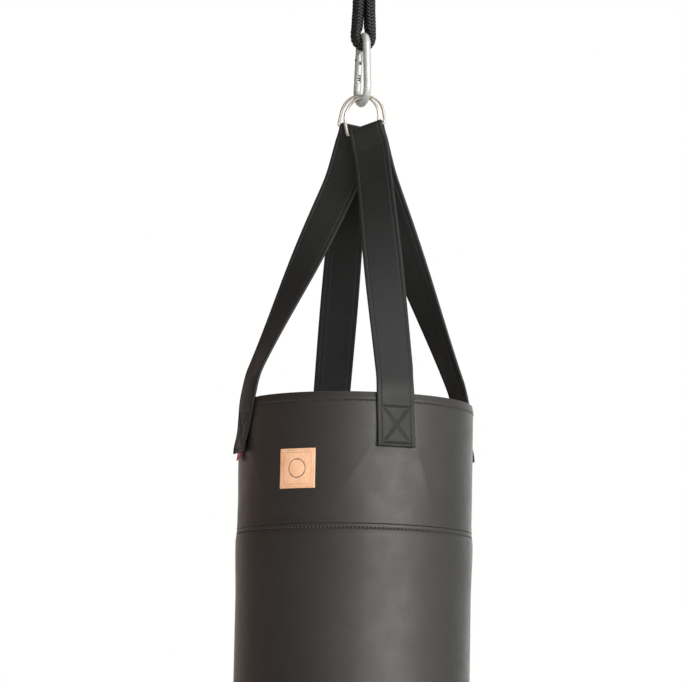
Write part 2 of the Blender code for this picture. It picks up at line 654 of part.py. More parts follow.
# The pull is a strap of metal with a crossbar through the slider's lug.
pull = box("zip_pull", (26 * MM, 6.4 * MM, 1.2 * MM), (PULL_X - 16.5 * MM, 0, PULL_Z), BRASS_ZIP)
for sign in (-1, 1):
    boolean(pull, box("arm", (6 * MM, 1.2 * MM, 1.2 * MM), (PULL_X - 2.4 * MM, sign * 2.6 * MM, PULL_Z), None,
                      collection=CUTTERS), "UNION")
boolean(pull, rod("bar", (PULL_X, -3.2 * MM, PULL_Z), (PULL_X, 3.2 * MM, PULL_Z), 0.8 * MM, None, 12, CUTTERS),
        "UNION")
box("zip_stop_closed", (3 * MM, 6 * MM, 3.4 * MM), (108 * MM, 0, tape_z + 0.2 * MM), BRASS_ZIP)
box("zip_stop_open", (3 * MM, 6 * MM, 3.4 * MM), (-108 * MM, 0, tape_z + 0.2 * MM), BRASS_ZIP)

# --- Label patch and side tab ------------------------------------------------


def patch(name, az, width, height, centre_z, inner, thick, mat, count=7):
    """A sheet bent round the bag."""
    az = math.radians(az)
    bm = bmesh.new()
    rows = []
    mid = inner + thick / 2
    for k in (0, 1):
        rows.append([bm.verts.new((mid * math.sin(az + (i / (count - 1) - 0.5) * width / mid),
                                   -mid * math.cos(az + (i / (count - 1) - 0.5) * width / mid),
                                   centre_z + (k - 0.5) * height)) for i in range(count)])
    for i in range(count - 1):
        bm.faces.new((rows[0][i], rows[0][i + 1], rows[1][i + 1], rows[1][i]))
    obj = from_bmesh(name, bm, mat, smooth=False)
    solid = obj.modifiers.new("thickness", "SOLIDIFY")
    solid.thickness = thick
    solid.offset = 0


patch("label_patch", -29, 50 * MM, 50 * MM, -796 * MM, BAG_R + GAP, 1.6 * MM, TAN_LEATHER)
patch("side_tab", -77, 18 * MM, 9 * MM, RIM_Z - STRAP_DOWN - GAP - 4.5 * MM, BAG_R + 1.2 * MM, 1.2 * MM,
      RED_TEXTILE, 4)
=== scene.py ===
"""Looks of the hanging punching bag: braided rope, spring hook, rings, stitched
leather straps, collar and body, lid with its zip, and the soft studio round it.

Frame: origin at the centre of the ceiling plate's upper face, +Z up, metres.
Azimuths are measured from -Y towards +X."""

import json
import math

import bmesh
import bpy
import numpy as np
from mathutils import Matrix, Vector

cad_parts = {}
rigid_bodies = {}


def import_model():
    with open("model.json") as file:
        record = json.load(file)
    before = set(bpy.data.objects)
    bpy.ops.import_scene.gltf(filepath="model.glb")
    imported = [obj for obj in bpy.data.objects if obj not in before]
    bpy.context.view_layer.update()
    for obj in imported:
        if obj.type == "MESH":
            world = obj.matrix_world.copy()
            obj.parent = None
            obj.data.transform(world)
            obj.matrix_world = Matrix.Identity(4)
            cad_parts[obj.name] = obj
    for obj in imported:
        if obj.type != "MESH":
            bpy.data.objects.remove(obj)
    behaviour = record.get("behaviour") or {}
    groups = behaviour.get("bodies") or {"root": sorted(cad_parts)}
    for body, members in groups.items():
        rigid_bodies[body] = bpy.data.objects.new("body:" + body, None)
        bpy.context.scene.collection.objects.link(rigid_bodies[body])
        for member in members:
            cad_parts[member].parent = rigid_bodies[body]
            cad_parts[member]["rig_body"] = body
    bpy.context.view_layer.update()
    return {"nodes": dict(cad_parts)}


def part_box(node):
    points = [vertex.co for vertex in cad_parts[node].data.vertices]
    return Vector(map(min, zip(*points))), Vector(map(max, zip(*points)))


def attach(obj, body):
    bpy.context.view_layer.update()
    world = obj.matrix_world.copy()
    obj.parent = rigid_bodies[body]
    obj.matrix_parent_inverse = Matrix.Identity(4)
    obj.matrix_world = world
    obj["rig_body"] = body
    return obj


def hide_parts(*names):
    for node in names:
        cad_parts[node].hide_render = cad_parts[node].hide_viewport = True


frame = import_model()
NODES = frame["nodes"]
MM = 0.001
GAP = 0.3 * MM

# The same driving sizes as the part
BAG_R = 150 * MM
RIM_Z, SEAM_Z, BOTTOM_Z = -700 * MM, -864.5 * MM, -1700 * MM
SKIN = 2.6 * MM
LID_TOP_Z = -711.8 * MM
STRAP_W, FOLD_W, STRAP_T = 50 * MM, 47 * MM, 3.6 * MM
STRAP_DOWN, SEWN_BELOW_BAR = 68 * MM, 24 * MM
LEG_AZ = {"front": 18.5, "right": 114.5, "back": 193.0, "left": -67.0}
LEG_END_AZ = {"front": 19.3, "right": 111.0, "back": 193.0, "left": -74.5}
RING_WIRE_R, RING_HALF_W, RING_H = 2 * MM, 27.5 * MM, 45 * MM
RING_YAW, RING_TILT = math.radians(-24.3), math.radians(15)
RING_TOP_N, RING_BAR_N = 2.8 * MM, 7.3 * MM
HOOK_YAW = math.radians(19)
HOOK_WIRE_R, HOOK_TOP_Z = 5 * MM, -216 * MM
HOOK_R_TOP, HOOK_R_BOTTOM, HOOK_BOTTOM_Z = 14 * MM, 20 * MM, -304.6 * MM
ROPE_R = 7 * MM
ROPE_BEND_R = HOOK_WIRE_R + ROPE_R + GAP
ROPE_PAIR = 7.2 * MM
BAIL_Z, BAIL_R = -45 * MM, 16 * MM
SEIZING_Z = (-161 * MM, -117 * MM)
PART_Z = -195.5 * MM
PLATE = (80 * MM, 80 * MM, 5 * MM)

HEM_Z = RIM_Z - 11 * MM            # stitch line under the rim
LAP_Z = SEAM_Z - 5.5 * MM          # stitch line under the seam
HEM_COUNT, LAP_COUNT = 230, 188    # stitches round the bag in each

Z = Vector((0, 0, 1))
U = Vector((math.sin(HOOK_YAW), -math.cos(HOOK_YAW), 0))
M = Vector((math.cos(HOOK_YAW), math.sin(HOOK_YAW), 0))
B = Vector((math.cos(RING_YAW), math.sin(RING_YAW), 0))
N = Vector((math.sin(RING_YAW), -math.cos(RING_YAW), 0))


# --- Small helpers -----------------------------------------------------------

def smoothstep(x):
    x = np.clip(x, 0.0, 1.0)
    return x * x * (3 - 2 * x)


def ramp(x, width):
    return 0.5 * (x + math.sqrt(x * x + width * width))


def corner(x, width):
    if abs(x) >= width:
        return max(x, 0.0)
    return (x + width) ** 2 / (4 * width)


def hermite(p0, t0, p1, t1, count):
    out = []
    for i in range(count):
        s = i / (count - 1)
        out.append((2 * s**3 - 3 * s**2 + 1) * p0 + (s**3 - 2 * s**2 + s) * t0
                   + (-2 * s**3 + 3 * s**2) * p1 + (s**3 - s**2) * t1)
    return out


def unit(v):
    return v / np.linalg.norm(v, axis=-1, keepdims=True)


def on_bag(az, radius, z):
    az, radius, z = np.broadcast_arrays(az, radius, z)
    return np.stack([radius * np.sin(az), -radius * np.cos(az), z], -1)


def waves(az, z, seed, scale, count=9):
    """Smooth unevenness from -1 to 1 over the bag, the same each run."""
    rng = np.random.default_rng(seed)
    out = 0
    for _ in range(count):
        k = rng.integers(1, 7)
        m = rng.uniform(-1, 1) / scale
        out = out + rng.uniform(0.4, 1) * np.sin(k * az + m * z * 2 * math.pi + rng.uniform(0, 6.3))
    return out / count * 1.4


def grid_faces(rows, cols, wrap_rows=False, wrap_cols=False, start=0):
    i = np.arange(rows if wrap_rows else rows - 1)
    j = np.arange(cols if wrap_cols else cols - 1)
    i, j = np.meshgrid(i, j, indexing="ij")
    i2, j2 = (i + 1) % rows, (j + 1) % cols
    quads = np.stack([i * cols + j, i * cols + j2, i2 * cols + j2, i2 * cols + j], -1)
    return quads.reshape(-1, 4) + start


class Pile:
    """Vertices and faces gathered into one mesh."""

    def __init__(self):
        self.verts, self.faces, self.count = [], [], 0

    def add(self, verts, faces):
        verts = np.asarray(verts, float).reshape(-1, 3)
        self.verts.append(verts)
        self.faces += [[int(k) + self.count for k in f] for f in faces]
        self.count += len(verts)

    def tube(self, path, radius, sides=12, closed=False, flat=1.0, up=None):
        """A round or flattened bar along a path; flat is its height over its width."""
        path = np.asarray(path, float)
        t, n, b = along(path, closed, up)
        radius = np.broadcast_to(np.asarray(radius, float), (len(path),))[:, None, None]
        a = np.linspace(0, 2 * math.pi, sides, endpoint=False)
        ring = flat * np.cos(a)[None, :, None] * n[:, None] + np.sin(a)[None, :, None] * b[:, None]
        verts = path[:, None] + radius * ring
        faces = grid_faces(len(path), sides, closed, True).tolist()
        if not closed:
            faces.append(list(range(sides))[::-1])
            faces.append([(len(path) - 1) * sides + k for k in range(sides)])
        self.add(verts, faces)

    def mesh(self, name, smooth=True, angle=None):
        mesh = bpy.data.meshes.new(name)
        mesh.from_pydata(np.concatenate(self.verts).tolist(), [], self.faces)
        bm = bmesh.new()
        bm.from_mesh(mesh)
        bmesh.ops.recalc_face_normals(bm, faces=bm.faces)
        bm.to_mesh(mesh)
        bm.free()
        if smooth:
            mesh.shade_smooth()
            if angle:
                mesh.set_sharp_from_angle(angle=math.radians(angle))
        return mesh


def along(path, closed=False, up=None):
    """Unit tangent and two cross directions at each point, with the least twist."""
    t = np.roll(path, -1, 0) - np.roll(path, 1, 0) if closed else np.gradient(path, axis=0)
    t = unit(t)
    first = np.array(up if up is not None else (0.137, 0.31, 0.94), float)
    n = np.empty_like(path)
    v = first - first.dot(t[0]) * t[0]
    n[0] = v / np.linalg.norm(v)
    for i in range(1, len(path)):
        v = n[i - 1] - n[i - 1].dot(t[i]) * t[i]
        n[i] = v / np.linalg.norm(v)
    if closed:
        v = n[-1] - n[-1].dot(t[0]) * t[0]
        v /= np.linalg.norm(v)
        turn = math.atan2(float(np.cross(v, n[0]).dot(t[0])), float(v.dot(n[0])))
        a = (turn * np.arange(len(path)) / len(path))[:, None]
        n = n * np.cos(a) + np.cross(t, n) * np.sin(a)
    return t, n, np.cross(t, n)


def smooth_line(points, step):
    """A denser line through the points: a Catmull-Rom curve sampled about every step."""
    p = np.array([tuple(q) for q in points], float)
    ext = np.vstack([2 * p[0] - p[1], p, 2 * p[-1] - p[-2]])
    out = []
    for i in range(1, len(ext) - 2):
        a, b, c, d = ext[i - 1:i + 3]
        n = max(2, int(math.ceil(np.linalg.norm(c - b) / step)))
        for s in np.arange(n) / n:
            out.append(0.5 * ((2 * b) + (c - a) * s + (2 * a - 5 * b + 4 * c - d) * s**2
                              + (3 * b - a - 3 * c + d) * s**3))
    out.append(p[-1])
    return even(np.array(out), step)


def even(path, step):
    """The same line with points at equal spacing."""
    s = np.concatenate([[0], np.cumsum(np.linalg.norm(np.diff(path, axis=0), axis=1))])
    n = max(2, int(round(s[-1] / step)) + 1)
    at = np.linspace(0, s[-1], n)
    return np.stack([np.interp(at, s, path[:, k]) for k in range(3)], -1)


def put(name, mesh, mat, body, nodes=()):
    obj = bpy.data.objects.new(name, mesh)
    bpy.context.scene.collection.objects.link(obj)
    if mat is not None:
        obj.data.materials.clear()
        obj.data.materials.append(mat)
    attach(obj, body)
    if nodes:
        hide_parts(*nodes)
    return obj


STITCH_X = np.array([-1, -0.82, -0.35, 0.35, 0.82, 1.0])
STITCH_R = np.array([0.3, 0.8, 1.0, 1.0, 0.8, 0.3])


def stitches(pile, line, normals, pitch, length=0.68, radius=0.52 * MM, lift=0.12 * MM, skew=0.0, count=None):
    """A row of stitches along a line that lies on the leather; each one dips in at its ends."""
    line, normals = np.asarray(line, float), np.asarray(normals, float)
    s = np.concatenate([[0], np.cumsum(np.linalg.norm(np.diff(line, axis=0), axis=1))])
    count = count or max(1, int(round(s[-1] / pitch)))
    at = (np.arange(count) + 0.5) * s[-1] / count
    c = np.stack([np.interp(at, s, line[:, k]) for k in range(3)], -1)
    n = unit(np.stack([np.interp(at, s, normals[:, k]) for k in range(3)], -1))
    d = np.stack([np.interp(at + 0.1 * pitch, s, line[:, k]) - np.interp(at - 0.1 * pitch, s, line[:, k])
                  for k in range(3)], -1)
    d = unit(d - (d * n).sum(-1, keepdims=True) * n)
    w = np.cross(n, d)
    d = unit(d + skew * w)
    w = np.cross(n, d)
    half = s[-1] / count * length / 2
    a = np.linspace(0, 2 * math.pi, 6, endpoint=False)
    x = (STITCH_X * half)[None, :, None, None] * d[:, None, None]
    dip = (lift - 0.75 * radius * STITCH_X**4 * 2)[None, :, None, None] * n[:, None, None]
    r = (STITCH_R * radius)[None, :, None, None]
    ring = (np.cos(a)[None, None, :, None] * w[:, None, None] + 0.8 * np.sin(a)[None, None, :, None] * n[:, None, None])
    verts = c[:, None, None] + x + dip + r * ring
    for v in verts:
        pile.add(v, STITCH_FACES)


STITCH_FACES = (grid_faces(6, 6, False, True).tolist() + [[5, 4, 3, 2, 1, 0], [30, 31, 32, 33, 34, 35]])


# --- Materials ---------------------------------------------------------------

class Look:
    """A Principled material whose colour, roughness and bump come from nodes."""

    def __init__(self, name, metallic=0.0, roughness=0.5, **sockets):
        self.mat = bpy.data.materials.new(name)
        self.mat.use_nodes = True
        self.tree = self.mat.node_tree
        self.shader = self.tree.nodes["Principled BSDF"]
        self.shader.inputs["Metallic"].default_value = metallic
        self.shader.inputs["Roughness"].default_value = roughness
        for key, value in sockets.items():
            self.shader.inputs[key.replace("_", " ")].default_value = value
        self.coord = self.node("ShaderNodeTexCoord").outputs["Object"]
        self.height = None

    def node(self, kind, **props):
        n = self.tree.nodes.new(kind)
        for k, v in props.items():
            setattr(n, k, v)
        return n

    def link(self, a, b):
        self.tree.links.new(a, b)

    def stretch(self, scale, rotation=(0, 0, 0)):
        m = self.node("ShaderNodeMapping")
        m.inputs["Scale"].default_value = scale
        m.inputs["Rotation"].default_value = rotation
        self.link(self.coord, m.inputs["Vector"])
        return m.outputs["Vector"]

    def noise(self, scale, detail=4.0, roughness=0.55, vector=None, distortion=0.0):
        n = self.node("ShaderNodeTexNoise")
        n.inputs["Scale"].default_value = scale
        n.inputs["Detail"].default_value = detail
        n.inputs["Roughness"].default_value = roughness
        n.inputs["Distortion"].default_value = distortion
        self.link(vector or self.coord, n.inputs["Vector"])
        return n.outputs["Fac"]

    def cells(self, scale, feature="F1", vector=None, randomness=1.0):
        n = self.node("ShaderNodeTexVoronoi", feature=feature)
        n.inputs["Scale"].default_value = scale
        n.inputs["Randomness"].default_value = randomness
        self.link(vector or self.coord, n.inputs["Vector"])
        return n.outputs["Distance"]

    def wave(self, scale, direction="X", vector=None, distortion=0.0, profile="SIN"):
        n = self.node("ShaderNodeTexWave", bands_direction=direction, wave_profile=profile)
        n.inputs["Scale"].default_value = scale
        n.inputs["Distortion"].default_value = distortion
        self.link(vector or self.coord, n.inputs["Vector"])
        return n.outputs["Fac"]

    def ramp(self, value, stops, low=0.0, high=1.0):
        n = self.node("ShaderNodeValToRGB")
        els = n.color_ramp.elements
        while len(els) < len(stops):
            els.new(0.5)
        for e, (p, c) in zip(els, stops):
            e.position, e.color = p, (*c, 1) if len(c) == 3 else c
        self.link(value, n.inputs["Fac"])
        return n.outputs["Color"]

    def remap(self, value, a, b, c, d):
        n = self.node("ShaderNodeMapRange")
        for k, v in zip(("From Min", "From Max", "To Min", "To Max"), (a, b, c, d)):
            n.inputs[k].default_value = v
        self.link(value, n.inputs["Value"])
        return n.outputs["Result"]

    def math(self, op, a, b):
        n = self.node("ShaderNodeMath", operation=op)
        for k, v in enumerate((a, b)):
            if isinstance(v, (int, float)):
                n.inputs[k].default_value = v
            else:
                self.link(v, n.inputs[k])
        return n.outputs[0]

    def mix(self, fac, a, b, mode="MIX"):
        n = self.node("ShaderNodeMix", data_type="RGBA", blend_type=mode)
        for k, v in ((0, fac), (6, a), (7, b)):
            if isinstance(v, (int, float)):
                n.inputs[k].default_value = v
            elif isinstance(v, tuple):
                n.inputs[k].default_value = (*v, 1)
            else:
                self.link(v, n.inputs[k])
        return n.outputs[2]

    def attribute(self, name):
        return self.node("ShaderNodeAttribute", attribute_name=name).outputs["Fac"]

    def color(self, value):
        self.link(value, self.shader.inputs["Base Color"])
        return self

    def rough(self, value):
        self.link(value, self.shader.inputs["Roughness"])
        return self

    def bump(self, height, strength, distance):
        n = self.node("ShaderNodeBump")
        n.inputs["Strength"].default_value = strength
        n.inputs["Distance"].default_value = distance
        self.link(height, n.inputs["Height"])
        if self.height is not None:
            self.link(self.height, n.inputs["Normal"])
        self.height = n.outputs["Normal"]
        self.link(self.height, self.shader.inputs["Normal"])
        return self


def leather(name, dark, light, rough=(0.42, 0.56), grain=900.0, depth=0.16 * MM, strength=0.55, dents=(), **sockets):
    """Smooth cowhide: small rounded cells, faint creases, colour that drifts slowly.

    dents lists the rows of needle holes round the bag: each one's height and how many it has. Each hole is bumped in
    and also painted near-black as painted shade."""
    k = Look(name, **sockets)
    drift = k.noise(9.0, 5.0, 0.6)
    fine = k.noise(grain * 0.33, 3.0)
    tone = k.mix(k.math("MULTIPLY", k.remap(fine, 0.3, 0.7, 0.0, 1.0), 0.35),
                 k.ramp(drift, [(0.32, dark), (0.7, light)]), tuple(min(1, c * 1.22) for c in light))
    if dents:
        split = k.node("ShaderNodeSeparateXYZ")
        k.link(k.coord, split.inputs[0])
        az = k.math("ARCTAN2", split.outputs["X"], k.math("MULTIPLY", split.outputs["Y"], -1.0))
        for z, count in dents:
            off = k.math("ABSOLUTE", k.math("SUBTRACT", split.outputs["Z"], z), 0.0)
            band = k.remap(off, 0.5 * MM, 1.5 * MM, 1.0, 0.0)
            hole = k.remap(k.math("COSINE", k.math("MULTIPLY", az, float(count)), 0.0), 0.1, 0.95, 0.0, 1.0)
            hole = k.math("MULTIPLY", band, hole)
            # painted shade: each needle hole is painted near-black for the shade in its hollow; the bump below dents it
            # in
            tone = k.mix(k.math("MULTIPLY", hole, 0.9), tone, (0.003, 0.003, 0.003))
            k.bump(k.math("MULTIPLY", hole, -1.0), 1.0, 0.7 * MM)
    k.color(tone)
    k.rough(k.remap(k.noise(38.0, 6.0, 0.65), 0.3, 0.7, *rough))
    pebble = k.cells(grain, "SMOOTH_F1")
    pores = k.noise(grain * 1.7, 2.0)
    crease = k.cells(grain * 0.21, "DISTANCE_TO_EDGE", vector=k.stretch((1, 1, 1.5)))
    k.bump(k.math("ADD", k.math("MULTIPLY", pebble, -0.7), k.math("MULTIPLY", pores, 0.5)), strength, depth)
    k.bump(k.remap(crease, 0.0, 0.05, 0.0, 1.0), 0.10, 0.05 * MM)
    k.bump(k.noise(70.0, 3.0, 0.5), 0.10, 1.2 * MM)
    return k.mat


def build_materials():
    m = {}
    m["body"] = leather("bag_leather", (0.0172, 0.0155, 0.0145), (0.0238, 0.0218, 0.0205), (0.38, 0.48),
                        dents=((HEM_Z, HEM_COUNT), (LAP_Z, LAP_COUNT)), Specular_IOR_Level=0.40)
    m["strap"] = leather("strap_leather", (0.0100, 0.0110, 0.0109), (0.0150, 0.0162, 0.0160), (0.46, 0.58),
                         grain=1050.0, Specular_IOR_Level=0.29)
    m["lid"] = leather("lid_leather", (0.017, 0.0166, 0.016), (0.025, 0.0243, 0.0235), (0.46, 0.58),
                       Specular_IOR_Level=0.38)

    k = Look("patch_leather", roughness=0.62, Specular_IOR_Level=0.3)
    tone = k.ramp(k.noise(70.0, 6.0, 0.7), [(0.28, (0.80, 0.43, 0.25)), (0.5, (0.94, 0.56, 0.35)),
                                            (0.74, (0.97, 0.66, 0.45))])
    fleck = k.remap(k.noise(800.0, 3.0), 0.46, 0.66, 0.0, 0.45)
    tone = k.mix(fleck, tone, (0.74, 0.38, 0.20))
    k.color(k.mix(k.attribute("pressed"), tone, (0.17, 0.085, 0.055)))
    k.rough(k.remap(k.noise(120.0, 3.0), 0.3, 0.7, 0.55, 0.72))
    k.bump(k.cells(1300.0, "SMOOTH_F1"), 0.4, 0.12 * MM)
    m["patch"] = k.mat

    k = Look("thread_black", roughness=0.55, Sheen_Weight=0.12)
    k.color(k.ramp(k.noise(900.0), [(0.3, (0.008, 0.008, 0.009)), (0.7, (0.026, 0.026, 0.027))]))
    k.bump(k.wave(2600.0, "DIAGONAL", distortion=1.5), 0.4, 0.08 * MM)
    m["thread"] = k.mat
    k = Look("thread_tan", roughness=0.6, Sheen_Weight=0.1)
    k.color(k.ramp(k.noise(900.0), [(0.3, (0.66, 0.38, 0.21)), (0.7, (0.90, 0.62, 0.42))]))
    k.bump(k.wave(2600.0, "DIAGONAL", distortion=1.5), 0.4, 0.08 * MM)
    m["thread_tan"] = k.mat

    k = Look("rope_yarn", roughness=0.4, Sheen_Weight=0.03, Sheen_Roughness=0.35, Specular_IOR_Level=0.36)
    k.color(k.ramp(k.noise(700.0, 3.0), [(0.3, (0.0022, 0.0022, 0.0027)), (0.72, (0.0070, 0.0070, 0.0082))]))
    k.rough(k.remap(k.noise(350.0), 0.3, 0.7, 0.28, 0.46))
    k.bump(k.noise(1.0, 2.0, vector=k.stretch((2600, 2600, 700))), 0.7, 0.14 * MM)
    m["rope"] = k.mat
    k = Look("rope_core", roughness=0.9)
    k.color(k.ramp(k.noise(800.0), [(0.3, (0.002, 0.002, 0.0022)), (0.7, (0.005, 0.005, 0.0055))]))
    k.bump(k.noise(1500.0), 0.5, 0.15 * MM)
    m["core"] = k.mat
    k = Look("waxed_twine", roughness=0.45, Sheen_Weight=0.08)
    k.color(k.ramp(k.noise(600.0), [(0.3, (0.012, 0.012, 0.013)), (0.7, (0.030, 0.030, 0.031))]))
    k.bump(k.wave(1700.0, "DIAGONAL", distortion=2.0), 0.6, 0.14 * MM)
    m["twine"] = k.mat

    k = Look("zinc", metallic=0.6, roughness=0.5)
    tone = k.ramp(k.noise(55.0, 5.0, 0.6), [(0.3, (0.43, 0.455, 0.44)), (0.7, (0.54, 0.565, 0.55))])
    k.color(k.mix(k.remap(k.cells(420.0), 0.05, 0.5, 0.16, 0.0), tone, (0.42, 0.44, 0.43)))
    k.rough(k.remap(k.noise(160.0, 6.0, 0.7), 0.3, 0.7, 0.44, 0.58))
    k.bump(k.noise(900.0, 4.0), 0.12, 0.06 * MM)
    k.bump(k.noise(1.0, 3.0, vector=k.stretch((900, 900, 60))), 0.10, 0.04 * MM)
    m["zinc"] = k.mat
    k = Look("rivet_steel", metallic=1.0, roughness=0.5)
    k.color(k.ramp(k.noise(500.0), [(0.3, (0.16, 0.16, 0.155)), (0.7, (0.30, 0.30, 0.29))]))
    k.bump(k.noise(1200.0), 0.2, 0.05 * MM)
    m["rivet"] = k.mat
    k = Look("nickel", metallic=0.85, roughness=0.3)
    tone = k.ramp(k.noise(80.0, 5.0), [(0.3, (0.70, 0.68, 0.62)), (0.7, (0.80, 0.785, 0.73))])
    k.color(k.mix(k.remap(k.noise(420.0, 4.0), 0.52, 0.7, 0.0, 0.18), tone, (0.50, 0.46, 0.40)))
    k.rough(k.remap(k.noise(300.0, 5.0, 0.7), 0.3, 0.7, 0.26, 0.40))
    k.bump(k.noise(700.0, 4.0), 0.10, 0.04 * MM)
    m["nickel"] = k.mat
    k = Look("zip_brass", metallic=1.0, roughness=0.35)
    k.color(k.ramp(k.noise(260.0, 4.0), [(0.3, (0.20, 0.19, 0.17)), (0.7, (0.36, 0.345, 0.31))]))
    k.rough(k.remap(k.noise(500.0, 4.0), 0.3, 0.7, 0.28, 0.5))
    k.bump(k.noise(900.0), 0.15, 0.05 * MM)
    m["zip"] = k.mat

    k = Look("powder_coat", roughness=0.42, Specular_IOR_Level=0.5)
    k.color(k.ramp(k.noise(45.0, 5.0), [(0.3, (0.016, 0.016, 0.017)), (0.7, (0.027, 0.027, 0.028))]))
    k.rough(k.remap(k.noise(90.0, 4.0), 0.3, 0.7, 0.36, 0.5))
    k.bump(k.noise(1100.0, 2.0), 0.45, 0.10 * MM)
    m["painted"] = k.mat

    k = Look("zip_tape_cloth", roughness=0.85, Sheen_Weight=0.15)
    k.color(k.ramp(k.noise(500.0), [(0.3, (0.014, 0.014, 0.015)), (0.7, (0.030, 0.030, 0.031))]))
    k.bump(k.math("ADD", k.wave(700.0, "X"), k.wave(700.0, "Y")), 0.5, 0.12 * MM)
    m["tape"] = k.mat
    k = Look("band_cloth", roughness=0.88, Sheen_Weight=0.15)
    k.color(k.ramp(k.noise(400.0), [(0.3, (0.018, 0.018, 0.019)), (0.7, (0.034, 0.034, 0.035))]))
    k.bump(k.math("ADD", k.wave(420.0, "DIAGONAL"), k.wave(420.0, "Z")), 0.5, 0.18 * MM)
    m["band"] = k.mat
    k = Look("tab_ribbon", roughness=0.75, Sheen_Weight=0.3)
    k.color(k.ramp(k.noise(500.0, 3.0), [(0.3, (0.33, 0.012, 0.045)), (0.7, (0.52, 0.035, 0.09))]))
    k.bump(k.math("ADD", k.wave(640.0, "Z"), k.wave(640.0, "DIAGONAL")), 0.6, 0.16 * MM)
    m["tab"] = k.mat
    k = Look("open_cell_foam", roughness=0.97, Subsurface_Weight=0.08)
    k.color(k.ramp(k.noise(90.0, 5.0), [(0.3, (0.60, 0.56, 0.43)), (0.7, (0.74, 0.70, 0.56))]))
    k.bump(k.cells(620.0), 0.8, 0.8 * MM)
    m["foam"] = k.mat
    k = Look("canvas_cloth", roughness=0.92)
    k.color(k.ramp(k.noise(220.0, 4.0), [(0.3, (0.50, 0.46, 0.37)), (0.7, (0.64, 0.60, 0.49))]))
    k.bump(k.math("ADD", k.wave(330.0, "DIAGONAL"), k.wave(330.0, "Z")), 0.7, 0.3 * MM)
    m["canvas"] = k.mat
    k = Look("textile_fill", roughness=1.0)
    k.color(k.ramp(k.cells(45.0), [(0.1, (0.10, 0.13, 0.22)), (0.45, (0.42, 0.40, 0.36)), (0.8, (0.30, 0.12, 0.11))]))
    k.bump(k.noise(160.0, 8.0, 0.75), 1.0, 3 * MM)
    m["fill"] = k.mat

    k = Look("studio_floor", roughness=0.75, Base_Color=(0.92, 0.92, 0.915, 1.0))
    m["floor"] = k.mat
    return m


MAT = build_materials()


# --- Camera ------------------------------------------------------------------

def place_camera():
    yaw, pitch, roll = -0.00183, 0.13701, 0.01897
    forward = Vector((math.sin(yaw) * math.cos(pitch), math.cos(yaw) * math.cos(pitch), math.sin(pitch)))
    level = Vector((math.cos(yaw), -math.sin(yaw), 0))
    over = level.cross(forward)
    right = math.cos(roll) * level + math.sin(roll) * over
    up = -math.sin(roll) * level + math.cos(roll) * over
    data = bpy.data.cameras.new("camera")
    data.sensor_width, data.lens = 36.0, 185.04
    data.clip_start, data.clip_end = 0.1, 200.0
    cam = bpy.data.objects.new("camera", data)
    bpy.context.scene.collection.objects.link(cam)
    rows = Matrix((right, up, -forward)).transposed().to_4x4()
    cam.matrix_world = Matrix.Translation((-0.01336, -4.47273, -1.23379)) @ rows
    bpy.context.scene.camera = cam


place_camera()


# --- Rope: a braided sling doubled round the bail and the hook ----------------

def rope_route():
    leave, part = math.radians(16), math.radians(40)
    mid_z = sum(SEIZING_Z) / 2
    upper, lower = Vector((0, 0, BAIL_Z)), Vector((0, 0, HOOK_TOP_Z))

    def bend(centre, sign, past, steps=16):
        out = []
        for i in range(steps + 1):
            a = -past + (math.pi + 2 * past) * i / steps
            out.append(centre + ROPE_BEND_R * (math.cos(a) * M + sign * math.sin(a) * Z))
        return out

    over = bend(upper, 1, leave)
    under = bend(lower, -1, part)
    hi, lo = SEIZING_Z[1], SEIZING_Z[0]
    pull = 40 * MM
    right_hi, left_hi = ROPE_PAIR * M + hi * Z, -ROPE_PAIR * M + hi * Z
    right_lo, left_lo = ROPE_PAIR * M + PART_Z * Z, -ROPE_PAIR * M + PART_Z * Z
    out_r_top = (-math.sin(leave) * M - math.cos(leave) * Z)
    out_l_top = (math.sin(leave) * M - math.cos(leave) * Z)
    out_r_bot = (-math.sin(part) * M + math.cos(part) * Z)
    out_l_bot = (math.sin(part) * M + math.cos(part) * Z)
    start = ROPE_PAIR * M + (mid_z + 0.2 * MM) * Z
    end = ROPE_PAIR * M + (mid_z - 0.2 * MM) * Z
    path = [start, ROPE_PAIR * M + (mid_z + hi) / 2 * Z]
    path += hermite(right_hi, pull * Z, over[0], -pull * out_r_top, 7)[:-1]
    path += over
    path += hermite(over[-1], pull * out_l_top, left_hi, -pull * Z, 7)[1:]
    path += [-ROPE_PAIR * M + z * Z for z in (mid_z, lo, (lo + PART_Z) / 2)]
    path += hermite(left_lo, -11 * MM * Z, under[-1], -11 * MM * out_l_bot, 6)[:-1]
    path += under[::-1]
    path += hermite(under[0], 11 * MM * out_r_bot, right_lo, 11 * MM * Z, 6)[1:]
    path += [ROPE_PAIR * M + z * Z for z in ((lo + PART_Z) / 2, lo)] + [end]
    return path


